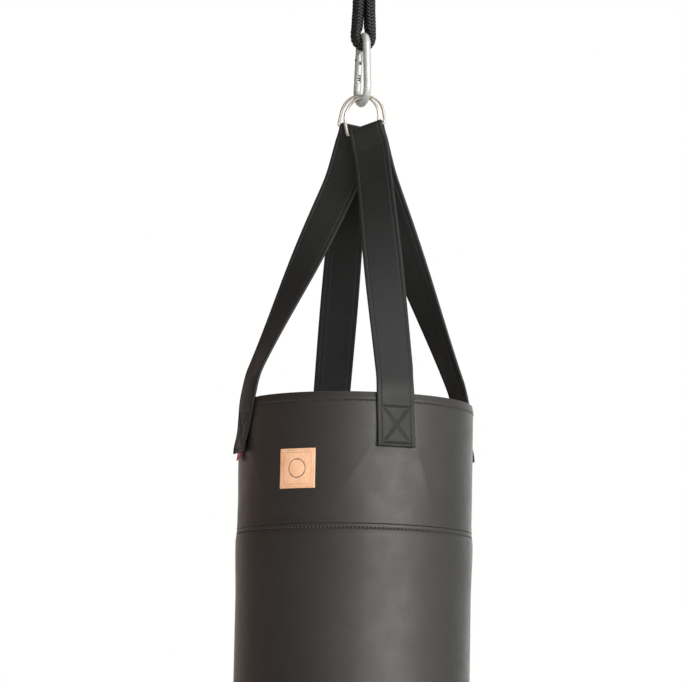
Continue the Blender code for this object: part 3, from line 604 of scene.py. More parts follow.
def make_rope():
    """Twelve yarn bundles, six each way, two over and two under."""
    pitch = 27 * MM
    line = smooth_line(rope_route(), 0.55 * MM)
    # Where it bears on the hook and on the bail the rope beds in and flattens; the whipping squeezes it
    across, flat_on = np.array(M), np.zeros(len(line))
    loop = np.zeros(len(line))
    for z_mid, side, start in ((HOOK_TOP_Z, -1, PART_Z - 7 * MM), (BAIL_Z, 1, BAIL_Z - 14 * MM)):
        here = smoothstep(side * (line[:, 2] - start) / (12 * MM))
        sideways = unit(line - np.array((0, 0, z_mid))) @ across
        line = line - (1.35 * MM * here * sideways)[:, None] * across
        loop = np.maximum(loop, here)
        flat_on = np.maximum(flat_on, here * np.abs(sideways))
    low = line[:, 2] < SEIZING_Z[0]
    spread = 0.4 * MM * smoothstep((SEIZING_Z[0] - line[:, 2]) / (12 * MM)) + low * 0.9 * MM * smoothstep(
        (-178 * MM - line[:, 2]) / (20 * MM))
    line = line + (spread * (1 - loop) * np.sign(line @ across))[:, None] * across
    bound = smoothstep((line[:, 2] - SEIZING_Z[0] + 4 * MM) / (6 * MM)) \
        * smoothstep((SEIZING_Z[1] + 4 * MM - line[:, 2]) / (6 * MM))
    t, n, b = along(line, False, tuple(U))
    n_scale, b_scale = 1 + 0.10 * flat_on - 0.10 * bound, 1 - 0.28 * flat_on - 0.10 * bound
    s = np.concatenate([[0], np.cumsum(np.linalg.norm(np.diff(line, axis=0), axis=1))])
    pile = Pile()
    a8 = np.linspace(0, 2 * math.pi, 8, endpoint=False)
    for hand in (1, -1):
        for i in range(6):
            phase = 2 * i + hand * 12 * s / pitch - 0.5
            lift = hand * 0.72 * MM * np.cos(2 * math.pi * phase / 4)
            phi = hand * 2 * math.pi * s / pitch + 2 * math.pi * i / 6
            out = (n_scale * np.cos(phi))[:, None] * n + (b_scale * np.sin(phi))[:, None] * b
            centre = line + (6.3 * MM + lift)[:, None] * out
            d = unit(np.gradient(centre, axis=0))
            out = unit(out - (out * d).sum(-1, keepdims=True) * d)
            side = np.cross(d, out)
            ring = (1.92 * MM * np.cos(a8)[None, :, None] * side[:, None]
                    + 1.2 * MM * np.sin(a8)[None, :, None] * out[:, None])
            faces = grid_faces(len(line), 8, False, True).tolist()
            faces += [list(range(8))[::-1], [(len(line) - 1) * 8 + q for q in range(8)]]
            pile.add(centre[:, None] + ring, faces)
    rope = put("rope_braid", pile.mesh("rope_braid"), MAT["rope"], "rope", ["rope_sling"])
    core = Pile()
    core.tube(line[::4], (5.5 - 1.7 * flat_on[::4] - 0.6 * bound[::4]) * MM, 16, up=tuple(U))
    inner = put("rope_core", core.mesh("rope_core"), MAT["core"], "rope")

    # Whipping: round turns of twine over both strands
    twine = Pile()
    turns = 27
    lo, hi = SEIZING_Z
    reach = ROPE_R + 1.05 * MM
    per = 40
    pts = []
    lap = 4 * ROPE_PAIR + 2 * math.pi * reach
    for i in range(turns * per + 1):
        f = (i % per) / per * lap
        z = lo + 0.8 * MM + (hi - lo - 1.6 * MM) * i / (turns * per)
        if f < 2 * ROPE_PAIR:
            x, y = -ROPE_PAIR + f, -reach
        elif f < 2 * ROPE_PAIR + math.pi * reach:
            a = (f - 2 * ROPE_PAIR) / reach - math.pi / 2
            x, y = ROPE_PAIR + reach * math.cos(a), reach * math.sin(a)
        elif f < 4 * ROPE_PAIR + math.pi * reach:
            x, y = ROPE_PAIR - (f - 2 * ROPE_PAIR - math.pi * reach), reach
        else:
            a = (f - 4 * ROPE_PAIR - math.pi * reach) / reach + math.pi / 2
            x, y = -ROPE_PAIR + reach * math.cos(a), reach * math.sin(a)
        pts.append(x * np.array(M) - y * np.array(U) + np.array((0, 0, z)))
    twine.tube(np.array(pts), 0.86 * MM, 7, up=(0, 0, 1))
    seizing = put("twine_seizing", twine.mesh("twine_seizing"), MAT["twine"], "rope",
                  ["rope_seizing"])
    way = line[::6].tolist()
    if np.linalg.norm(line[-1] - np.array(way[-1])) > 1e-6:
        way.append(line[-1].tolist())


make_rope()


# --- Ceiling plate and bail ----------------------------------------------------

def outline_mesh(name, outlines, half, bevel, matrix, resolution=3):
    """Closed 2-D outlines thickened both ways, with rounded edges."""
    curve = bpy.data.curves.new(name, "CURVE")
    curve.dimensions = "2D"
    curve.fill_mode = "BOTH"
    curve.extrude = half - bevel
    curve.bevel_depth = bevel
    curve.bevel_resolution = resolution
    curve.offset = -bevel
    for outline in outlines:
        spline = curve.splines.new("POLY")
        spline.points.add(len(outline) - 1)
        for point, (x, y) in zip(spline.points, outline):
            point.co = (x, y, 0, 1)
        spline.use_cyclic_u = True
    obj = bpy.data.objects.new(name, curve)
    bpy.context.scene.collection.objects.link(obj)
    bpy.context.view_layer.update()
    mesh = bpy.data.meshes.new_from_object(obj.evaluated_get(bpy.context.evaluated_depsgraph_get()))
    bpy.data.objects.remove(obj)
    bpy.data.curves.remove(curve)
    bm = bmesh.new()
    bm.from_mesh(mesh)
    bmesh.ops.remove_doubles(bm, verts=bm.verts, dist=1e-6)
    bmesh.ops.recalc_face_normals(bm, faces=bm.faces)
    bm.to_mesh(mesh)
    bm.free()
    mesh.materials.clear()
    mesh.transform(matrix)
    mesh.shade_smooth()
    mesh.set_sharp_from_angle(angle=math.radians(40))
    return mesh


def arc(cx, cy, r, a0, a1, count):
    return [(cx + r * math.cos(a0 + (a1 - a0) * i / count), cy + r * math.sin(a0 + (a1 - a0) * i / count))
            for i in range(count + 1)]


def make_ceiling():
    h, c = PLATE[0] / 2, 6 * MM
    edge = []
    for k, (sx, sy) in enumerate(((1, 1), (-1, 1), (-1, -1), (1, -1))):
        edge += arc(sx * (h - c), sy * (h - c), c, k * math.pi / 2, (k + 1) * math.pi / 2, 8)
    holes = [arc(sx * 29 * MM, sy * 29 * MM, 3.25 * MM, 0, 2 * math.pi * 31 / 32, 31)
             for sx in (-1, 1) for sy in (-1, 1)]
    mesh = outline_mesh("ceiling_plate_body", [edge] + holes, 2.5 * MM, 0.5 * MM,
                        Matrix.Translation((0, 0, -2.5 * MM)))
    put("ceiling_plate_body", mesh, MAT["painted"], "ceiling_fitting", ["ceiling_plate"])

    arc_z = BAIL_Z + BAIL_R
    top = -PLATE[2] - 0.05 * MM
    points = [-BAIL_R * U + top * Z, -BAIL_R * U + (top + arc_z) / 2 * Z]
    for i in range(25):
        a = math.pi * i / 24
        points.append(-BAIL_R * math.cos(a) * U + (arc_z - BAIL_R * math.sin(a)) * Z)
    points += [BAIL_R * U + (top + arc_z) / 2 * Z, BAIL_R * U + top * Z]
    pile = Pile()
    pile.tube(smooth_line(points, 1.5 * MM), HOOK_WIRE_R, 28, up=tuple(M))
    for sign in (-1, 1):
        foot = np.array(sign * BAIL_R * U + (top - 1.3 * MM) * Z)
        a = np.linspace(0, 2 * math.pi, 72, endpoint=False)
        r = HOOK_WIRE_R + 0.9 * MM + 0.22 * MM * np.sin(13 * a)
        ring = np.stack([r * np.cos(a), r * np.sin(a), 0.25 * MM * np.cos(13 * a + 1)], -1) + foot
        pile.tube(ring, 1.5 * MM + 0.25 * MM * np.cos(26 * a), 10, closed=True, up=(0, 0, 1))
    put("ceiling_bail_rod", pile.mesh("ceiling_bail_rod", angle=50), MAT["painted"], "ceiling_fitting",
        ["ceiling_bail"])


make_ceiling()


# --- Spring hook ---------------------------------------------------------------

TOP_C = HOOK_TOP_Z - HOOK_R_TOP
BOTTOM_C = HOOK_BOTTOM_Z + HOOK_R_BOTTOM
gate_top = -HOOK_R_TOP * U + TOP_C * Z
gate_dir = ((-HOOK_R_BOTTOM * U + BOTTOM_C * Z) - gate_top).normalized()
IN = (U - U.dot(gate_dir) * gate_dir).normalized()
HINGE = 15 * MM
LATCH = HINGE + 25 * MM
GATE_FROM, GATE_TO = 6 * MM, HINGE + 29.2 * MM


def on_gate(down, inward=0.0, square=0.0):
    return gate_top + down * gate_dir + inward * IN + square * M


def gate_frame(down, inward=0.0):
    rows = Matrix((IN, -gate_dir, IN.cross(-gate_dir))).transposed().to_4x4()
    return Matrix.Translation(on_gate(down, inward)) @ rows


def loose(name, mesh):
    obj = bpy.data.objects.new(name, mesh)
    bpy.context.scene.collection.objects.link(obj)
    return obj


def plate_tool(outline, half, matrix):
    return loose("tool", outline_mesh("tool", [outline], half, 0.0, matrix, 0))


def rod_tool(start, end, radius, sides=40):
    pile = Pile()
    pile.tube([tuple(start), tuple(end)], radius, sides)
    return loose("tool", pile.mesh("tool", smooth=False))


def boolean(obj, cutter, operation="DIFFERENCE"):
    mod = obj.modifiers.new("bool", "BOOLEAN")
    mod.operation, mod.solver, mod.object = operation, "EXACT", cutter
    bpy.context.view_layer.update()
    mesh = bpy.data.meshes.new_from_object(obj.evaluated_get(bpy.context.evaluated_depsgraph_get()))
    obj.modifiers.clear()
    obj.data = mesh
    bpy.data.objects.remove(cutter)


def softened(obj, voxel, rounds):
    """The same solid with its edges worn round: remeshed fine, then relaxed."""
    mod = obj.modifiers.new("remesh", "REMESH")
    mod.mode, mod.voxel_size, mod.use_smooth_shade = "VOXEL", voxel, True
    mod = obj.modifiers.new("relax", "SMOOTH")
    mod.factor, mod.iterations = 0.5, rounds
    bpy.context.view_layer.update()
    mesh = bpy.data.meshes.new_from_object(obj.evaluated_get(bpy.context.evaluated_depsgraph_get()))
    bpy.data.objects.remove(obj)
    mesh.materials.clear()
    mesh.shade_smooth()
    return mesh


def make_hook():
    points = [on_gate(5.5 * MM), on_gate(2 * MM)]
    for i in range(17):
        a = math.pi * i / 16
        points.append(-HOOK_R_TOP * math.cos(a) * U + (TOP_C + HOOK_R_TOP * math.sin(a)) * Z)
    points.append((HOOK_R_TOP + HOOK_R_BOTTOM) / 2 * U + (TOP_C + BOTTOM_C) / 2 * Z)
    for i in range(21):
        a = math.pi * i / 20
        points.append(HOOK_R_BOTTOM * math.cos(a) * U + (BOTTOM_C - HOOK_R_BOTTOM * math.sin(a)) * Z)
    points.append(on_gate(GATE_TO + 0.8 * MM))
    pile = Pile()
    pile.tube(smooth_line(points, 1.2 * MM), HOOK_WIRE_R, 40, up=tuple(M))
    body = loose("hook", pile.mesh("hook", smooth=False))
    tongue = [(-4 * MM, 14 * MM)] + arc(0, 0, 4 * MM, math.pi, 2 * math.pi, 16) + [(4 * MM, 14 * MM)]
    boolean(body, plate_tool(tongue, 2 * MM, gate_frame(HINGE)), "UNION")
    nose = [(-3.2 * MM, -35 * MM), (-3.2 * MM, -21.5 * MM), (-2.2 * MM, -20.6 * MM), (2.6 * MM, -20.6 * MM),
            (3.4 * MM, -21.4 * MM), (3.4 * MM, -22.9 * MM)]
    nose += arc(-0.1 * MM, -25 * MM, 2.1 * MM, math.pi / 2, 3 * math.pi / 2, 10)
    nose += [(3.2 * MM, -27.1 * MM), (3.2 * MM, -35 * MM)]
    boolean(body, plate_tool(nose, 2 * MM, gate_frame(HINGE)), "UNION")
    boolean(body, rod_tool(on_gate(HINGE, 0, -8 * MM), on_gate(HINGE, 0, 8 * MM), 2.3 * MM))
    put("hook_body", softened(body, 0.42 * MM, 3), MAT["zinc"], "carabiner", ["carabiner_body"])

    gate = rod_tool(on_gate(GATE_FROM), on_gate(GATE_TO), HOOK_WIRE_R, 48)
    cheek = arc(0, 0, 9 * MM, 0, math.pi, 20) + [(-9 * MM, -40 * MM), (9 * MM, -40 * MM)]
    boolean(gate, plate_tool(cheek, 8 * MM, gate_frame(HINGE)), "INTERSECT")
    slot = [(-9 * MM, 12 * MM), (-9 * MM, -6 * MM), (9 * MM, -6 * MM), (9 * MM, 12 * MM)]
    boolean(gate, plate_tool(slot, 2.35 * MM, gate_frame(HINGE)))
    fork = [(-9 * MM, -19.6 * MM), (-9 * MM, -33 * MM), (9 * MM, -33 * MM), (9 * MM, -19.6 * MM)]
    boolean(gate, plate_tool(fork, 2.35 * MM, gate_frame(HINGE)))
    boolean(gate, rod_tool(on_gate(HINGE + 5 * MM), on_gate(HINGE + 16.5 * MM), 2.2 * MM))
    boolean(gate, rod_tool(on_gate(HINGE, 0, -8 * MM), on_gate(HINGE, 0, 8 * MM), 2.3 * MM))
    boolean(gate, rod_tool(on_gate(LATCH, 0, -8 * MM), on_gate(LATCH, 0, 8 * MM), 1.8 * MM))
    put("hook_gate", softened(gate, 0.3 * MM, 3), MAT["zinc"], "gate", ["carabiner_gate"])

    def dome_pin(name, at, half, radius, mat, body_name, node):
        """A pin with a low dome at each end."""
        xs = [-half - 0.25 * MM, -half - 0.1 * MM, -half + 0.3 * MM, half - 0.3 * MM, half + 0.1 * MM,
              half + 0.25 * MM]
        pin = Pile()
        pin.tube([tuple(at + x * M) for x in xs],
                 [0.25 * radius, 0.7 * radius, radius, radius, 0.7 * radius, 0.25 * radius], 28)
        put(name, pin.mesh(name, angle=60), mat, body_name, [node])

    dome_pin("hinge_rivet", on_gate(HINGE), 5.2 * MM, 2 * MM, MAT["rivet"], "carabiner", "gate_hinge_rivet")
    dome_pin("latch_pin", on_gate(LATCH), 4.8 * MM, 1.5 * MM, MAT["zinc"], "gate", "gate_latch_pin")

    coil = []
    for i in range(20 * 9 + 1):
        a = 2 * math.pi * i / 20
        coil.append(tuple(on_gate(HINGE + 9.8 * MM + 5.6 * MM * i / 180)
                          + 1.4 * MM * (math.cos(a) * IN + math.sin(a) * M)))
    spring = Pile()
    spring.tube(coil, 0.33 * MM, 8, up=tuple(gate_dir))
    put("gate_coil_spring", spring.mesh("gate_coil_spring"), MAT["zinc"], "gate", ["gate_spring"])


make_hook()


# --- Rings -----------------------------------------------------------------------

def wire_rise(across):
    return HOOK_R_BOTTOM - math.sqrt(HOOK_R_BOTTOM**2 - across**2)


HOOK_WIRE = [math.sin(i * 0.05) * HOOK_R_BOTTOM * U + (BOTTOM_C - HOOK_R_BOTTOM * math.cos(i * 0.05)) * Z
             for i in range(-24, 25)]
RING_ARC_Z = RING_H - RING_HALF_W


def ring_frame(side):
    across = side * RING_TOP_N / U.dot(N)
    splay = math.asin((RING_BAR_N - RING_TOP_N) / RING_H)
    wire = across * U + (HOOK_BOTTOM_Z + wire_rise(across)) * Z

    def upward(angle):
        return math.cos(splay) * (math.cos(angle) * Z - math.sin(angle) * B) - side * math.sin(splay) * N

    tilt = RING_TILT * side
    bar_dir = math.cos(tilt) * B + math.sin(tilt) * Z
    up, lean = upward(tilt), upward(math.radians(8) * side)
    needed = HOOK_WIRE_R + RING_WIRE_R + (0.5 * MM if side > 0 else 2.1 * MM)
    low, high = 5 * MM, 24 * MM
    for _ in range(24):
        reach = (low + high) / 2
        arch = wire - reach * lean
        nearest = min((arch + RING_HALF_W * (math.cos(a * 0.06) * bar_dir + math.sin(a * 0.06) * up) - w).length
                      for a in range(8, 46) for w in HOOK_WIRE)
        if nearest > needed:
            low = reach
        else:
            high = reach
    return arch - RING_ARC_Z * up, bar_dir, up


def make_ring(name, side, body, node):
    centre, across, up = ring_frame(side)
    bend = 3.5 * MM
    flat = [(x * MM, 0) for x in range(-23, 24, 2)]
    flat += arc(RING_HALF_W - bend, bend, bend, -math.pi / 2, 0, 7)[1:-1]
    flat += [(RING_HALF_W, y * MM) for y in (4.5, 7, 10, 13)]
    flat += arc(0, RING_ARC_Z, RING_HALF_W, 0, math.pi, 72)
    flat += [(-RING_HALF_W, y * MM) for y in (13, 10, 7, 4.5)]
    flat += arc(-RING_HALF_W + bend, bend, bend, math.pi, 1.5 * math.pi, 7)[1:-1]
    path = np.array([tuple(centre + x * across + y * up) for x, y in flat])
    radius = np.full(len(path), RING_WIRE_R)
    weld = np.array([abs(x - 6 * MM) < 1.2 * MM and y < 1e-6 for x, y in flat])
    radius[weld] *= 1.09
    pile = Pile()
    pile.tube(path, radius, 20, closed=True, up=tuple(across.cross(up)))
    put(name, pile.mesh(name), MAT["nickel"], body, [node])


make_ring("front_d_ring", 1, "front_ring", "ring_front")
make_ring("rear_d_ring", -1, "rear_ring", "ring_rear")


# --- Leather surface of the bag ------------------------------------------------------

STRAP_END_Z = RIM_Z - STRAP_DOWN


def strap_az(name, z):
    """Azimuth of a strap's centreline where it lies on the collar, in radians."""
    lean = smoothstep((RIM_Z + 6 * MM - z) / (STRAP_DOWN + 6 * MM))
    return np.radians(LEG_AZ[name] + lean * (LEG_END_AZ[name] - LEG_AZ[name]))


def facet(az, z):
    """How far the collar is flattened inward under a strap and in the fan of folds below it."""
    out = 0.0
    for name, (left, right, fan, tug) in {"front": (0.80, 0.42, 0.62, 0.6), "right": (0.6, 0.6, 0.35, 1.0),
                                          "back": (0.7, 0.5, 0.5, 0.6), "left": (0.5, 0.8, 0.1, 1.0)}.items():
        d = BAG_R * ((az - strap_az(name, z) + math.pi) % (2 * math.pi) - math.pi)
        below = np.clip((STRAP_END_Z + 4 * MM - z) / (STRAP_END_Z - SEAM_Z), 0, 1)
        width = (27 * MM + below * 86 * MM * np.where(d < 0, left, right))
        u = np.clip(1 - (d / width) ** 2, -0.06, 1)
        shape = np.where(u > 0.06, u, (u + 0.06) ** 2 / 0.24)
        deep = 1.45 * MM * (0.45 + 0.55 * smoothstep((RIM_Z - z) / (30 * MM)))
        deep = deep * (1 + 0.85 * fan * smoothstep(below / 0.2))
        deep = deep * (1 - 0.35 * smoothstep(below * 1.6)) * (1 - smoothstep((below - 0.6) / 0.4))
        fold = 0.42 * MM * fan * smoothstep(below / 0.08) * (1 - smoothstep((below - 0.35) / 0.45))
        fold = fold * np.exp(-((np.abs(d) - width) / (4.5 * MM + below * 7 * MM)) ** 2)
        pull = tug * MM * np.exp(-((RIM_Z - z) / (13 * MM)) ** 1.4 * (z < RIM_Z)) * np.exp(-(d / (36 * MM)) ** 4)
        out = out + deep * shape - fold + pull
    return out


def collar_r(az, z):
    """Outer radius of the collar."""
    r = BAG_R - 1.5 * MM * smoothstep((z - HEM_Z) / (11 * MM)) ** 1.3          # the rim leans in
    r = r + 0.32 * MM * smoothstep((z - HEM_Z + 1.2 * MM) / (1.6 * MM))      # two thicknesses at the hem
    r = r - 0.38 * MM * np.exp(-((z - HEM_Z) / (1.1 * MM)) ** 2)
    up = z - SEAM_Z
    r = r + 0.2 * MM * np.exp(-((up - 2.2 * MM) / (2.6 * MM)) ** 2)           # turned edge above the seam
    r = r - 0.25 * MM * np.exp(-((up - 12 * MM) / (6 * MM)) ** 2)
    r = r + 0.28 * MM * waves(az, z, 3, 0.22) * smoothstep((RIM_Z - z) / (30 * MM)) * smoothstep(up / (20 * MM))
    return r - facet(az, z)


def body_r(az, z):
    """Outer radius of the body."""
    down = SEAM_Z - z
    r = BAG_R + 1.55 * MM * smoothstep(down / (15 * MM)) * (1 - smoothstep((down - 20 * MM) / (70 * MM)))
    r = r + 0.2 * MM * np.exp(-((down - 2.2 * MM) / (1.9 * MM)) ** 2)
    r = r - 0.36 * MM * np.exp(-((down - 5.5 * MM) / (1.2 * MM)) ** 2)
    low = smoothstep((down - 60 * MM) / (160 * MM))
    r = r + 0.75 * MM * waves(az, z, 11, 0.5) * low
    r = r + 0.9 * MM * low * smoothstep((z - BOTTOM_Z - 60 * MM) / (200 * MM)) * (0.4 - 0.6 * (down / 0.836))
    back = BAG_R * ((az + 2 * math.pi) % (2 * math.pi) - math.pi)
    for off in (-6 * MM, 6 * MM):
        r = r - 0.35 * MM * np.exp(-((back - off) / (0.9 * MM)) ** 2)
    r = r - 0.9 * MM * np.exp(-(back / (0.7 * MM)) ** 2)
    return r + 0.3 * MM * np.exp(-(back / (5 * MM)) ** 4)


def make_collar():
    steps = 480
    az = np.linspace(0, 2 * math.pi, steps, endpoint=False)
    zs = [RIM_Z - d * MM for d in (1.6, 2.2, 3, 4, 5, 6, 7.2, 8.4, 9.4, 10, 10.4, 10.7, 11, 11.3, 11.6, 12, 12.6,
                                   13.4, 14.5, 16)]
    zs += list(np.arange(zs[-1] - 1.6 * MM, SEAM_Z + 7 * MM, -1.6 * MM))
    zs += [SEAM_Z + d * MM for d in (6, 5, 4, 3.1, 2.3, 1.6, 1.1, 0.9)]
    rows = []
    top_r = collar_r(az, np.full(steps, RIM_Z - 1.6 * MM))
    for a in np.linspace(0, 1, 5)[:-1]:         # the rounded upper edge, from its crest outward
        rows.append(on_bag(az, top_r - 1.6 * MM * (1 - math.sin(a * math.pi / 2)),
                           RIM_Z - 1.6 * MM * (1 - math.cos(a * math.pi / 2))))
    for z in zs:
        rows.append(on_bag(az, collar_r(az, np.full(steps, z)), z))
    low = collar_r(az, np.full(steps, SEAM_Z + 0.9 * MM))
    for a in (0.3, 0.6, 0.85, 1.0):             # turned in at the seam
        rows.append(on_bag(az, low - 0.6 * MM * (1 - math.cos(a * math.pi / 2)),
                           SEAM_Z + 0.9 * MM - 0.8 * MM * math.sin(a * math.pi / 2)))
    inner = BAG_R - 2.5 * MM
    for z in (SEAM_Z + 0.3 * MM, SEAM_Z + 30 * MM, LID_TOP_Z - 20 * MM, LID_TOP_Z - 8 * MM, LID_TOP_Z - 3 * MM,
              LID_TOP_Z, HEM_Z - 0.8 * MM, HEM_Z, HEM_Z + 0.8 * MM, RIM_Z - 8 * MM, RIM_Z - 5 * MM, RIM_Z - 3 * MM,
              RIM_Z - 1.6 * MM):
        pinch = 0.5 * MM * math.exp(-((z - HEM_Z) / (0.9 * MM)) ** 2)
        follow = collar_r(az, np.full(steps, z)) - 2.7 * MM + pinch
        rows.append(on_bag(az, np.minimum(inner + pinch, follow), z))
    crest = top_r - 1.6 * MM
    inside = np.minimum(inner, top_r - 2.7 * MM)
    for a in (0.35, 0.7):
        rows.append(on_bag(az, inside + (crest - inside) * a, np.full(steps, RIM_Z - 1.6 * MM * (1 - a) ** 2)))
    pile = Pile()
    pile.add(np.stack(rows), grid_faces(len(rows), steps, True, True).tolist())
    collar = put("collar_skin", pile.mesh("collar_skin"), MAT["body"], "bag", ["collar_panel"])

    thread = Pile()
    step = 2 * math.pi / HEM_COUNT
    middle = (np.arange(HEM_COUNT) + 0.5) * step
    covered = np.zeros(HEM_COUNT, bool)
    for name in LEG_AZ:
        d = (middle - strap_az(name, HEM_Z) + math.pi) % (2 * math.pi) - math.pi
        covered |= np.abs(d) < 25.4 * MM / BAG_R
    first = int(np.argmax(covered))
    run = []
    for k in range(first, first + HEM_COUNT + 1):
        if not covered[k % HEM_COUNT]:
            run.append(k)
        elif run:
            a = np.linspace(run[0] * step, (run[-1] + 1) * step, 4 * len(run) + 1)
            zz = np.full(len(a), HEM_Z)
            stitches(thread, on_bag(a, collar_r(a, zz) + 0.05 * MM, zz), on_bag(a, 1.0, 0.0), 4.1 * MM, count=len(run))
            run = []
    dense = np.linspace(0, 2 * math.pi, 721)
    z = np.full(721, HEM_Z)
    inside = np.minimum(BAG_R - 2.5 * MM, collar_r(dense, z) - 2.7 * MM) + 0.35 * MM
    stitches(thread, on_bag(dense, inside, z), -on_bag(dense, 1.0, 0.0), 4.1 * MM, count=HEM_COUNT)
    put("hem_stitching", thread.mesh("hem_stitching"), MAT["thread"], "bag")


make_collar()


def make_body():
    steps = 420
    az = np.linspace(0, 2 * math.pi, steps, endpoint=False)
    # More columns close to the back seam, where the panel's edges meet
    back = math.pi
    az = np.unique(np.concatenate([az, back + np.array([-9, -7.5, -6.8, -6.4, -6, -5.6, -5.2, -4.5, -2, -1.2, -0.7,
                                                         -0.35, 0, 0.35, 0.7, 1.2, 2, 4.5, 5.2, 5.6, 6, 6.4, 6.8,
                                                         7.5, 9]) * MM / BAG_R]))
    steps = len(az)
    downs = [0.9, 1.2, 1.7, 2.2, 2.8, 3.4, 4, 4.5, 4.9, 5.2, 5.5, 5.8, 6.1, 6.5, 7, 7.7, 8.6, 10, 12, 14, 16, 18, 20]
    downs += list(np.arange(23, 100, 3.2)) + list(np.arange(103, 815, 6.5))
    zs = [SEAM_Z - d * MM for d in downs]
    rows = []
    top = body_r(az, np.full(steps, zs[0]))
    for a in (1.0, 0.85, 0.6, 0.3):
        rows.append(on_bag(az, top - 0.6 * MM * (1 - math.cos(a * math.pi / 2)),
                           SEAM_Z - 0.9 * MM + 0.8 * MM * math.sin(a * math.pi / 2)))
    for z in zs:
        rows.append(on_bag(az, body_r(az, np.full(steps, z)), z))
    # Round the bottom edge and in under the bag, to the stitched overlap on the disc
    r0 = body_r(az, np.full(steps, zs[-1]))
    z0 = zs[-1]
    drop, turn = z0 - BOTTOM_Z, 11.5 * MM
    for d in np.linspace(0, 1, 6)[1:-1]:
        rows.append(on_bag(az, r0 + (BAG_R - r0) * d, z0 - (drop - turn) * d))
    for a in np.linspace(0, 1, 11):
        ang = a * math.pi / 2
        rows.append(on_bag(az, np.full(steps, BAG_R - turn * (1 - math.cos(ang))), BOTTOM_Z + turn * (1 - math.sin(ang))))
    for r, rise in ((137.6, 0.12), (136.9, 0.28), (136.6, 0.6), (136.6, 1.5), (137.0, 2.6), (143, 4.5),
                    (147.2, 12), (147.3, 40), (147.3, 400), (147.3, 830)):
        rows.append(on_bag(az, np.full(steps, r * MM), BOTTOM_Z + rise * MM))
    pile = Pile()
    pile.add(np.stack(rows), grid_faces(len(rows), steps, True, True).tolist())
    body = put("body_skin", pile.mesh("body_skin"), MAT["body"], "bag", ["body_panel"])

    thread = Pile()
    dense = np.linspace(0, 2 * math.pi, 721)
    z = np.full(721, LAP_Z)
    stitches(thread, on_bag(dense, body_r(dense, z) + 0.08 * MM, z), on_bag(dense, 1.0, 0.0), 5.0 * MM,
             length=0.62, radius=0.66 * MM, count=LAP_COUNT)
    for off in (-6 * MM, 6 * MM):
        zz = np.linspace(SEAM_Z - 10 * MM, BOTTOM_Z + 16 * MM, 300)
        a = np.full(300, math.pi + off / BAG_R)
        stitches(thread, on_bag(a, body_r(a, zz) + 0.05 * MM, zz), on_bag(a, 1.0, 0.0), 4.6 * MM)
    stitches(thread, on_bag(dense, 139.6 * MM, BOTTOM_Z + 0.02 * MM), np.broadcast_to((0, 0, -1.0), (721, 3)), 4.6 * MM,
             lift=0.1 * MM)
    put("body_stitching", thread.mesh("body_stitching"), MAT["thread"], "bag")

    # The disc in the bottom, slightly bellied between its stitches
    rr = np.array([0.0, 8, 20, 35, 50, 65, 80, 95, 108, 118, 126, 131, 134, 136.2]) * MM
    sag = 1.15 * MM * (1 - (rr / rr[-1]) ** 4) - 0.8 * MM
    disc = Pile()
    a = np.linspace(0, 2 * math.pi, 180, endpoint=False)
    rows = [on_bag(a, np.full(180, max(r, 0.05 * MM)), BOTTOM_Z + 1.2 * MM - s - 0.3 * MM) for r, s in zip(rr, sag)]
    rows += [on_bag(a, np.full(180, max(r, 0.05 * MM)), BOTTOM_Z + 3.4 * MM) for r in rr[::-1]]
    faces = grid_faces(len(rows), 180, False, True).tolist()
    faces += [list(range(180)), [(len(rows) - 1) * 180 + k for k in range(180)][::-1]]
    disc.add(np.stack(rows), faces)
    put("bottom_disc", disc.mesh("bottom_disc", angle=50), MAT["body"], "bag", ["bottom_panel"])


make_body()


# --- Straps ------------------------------------------------------------------------------

MID_R = BAG_R + GAP + STRAP_T / 2


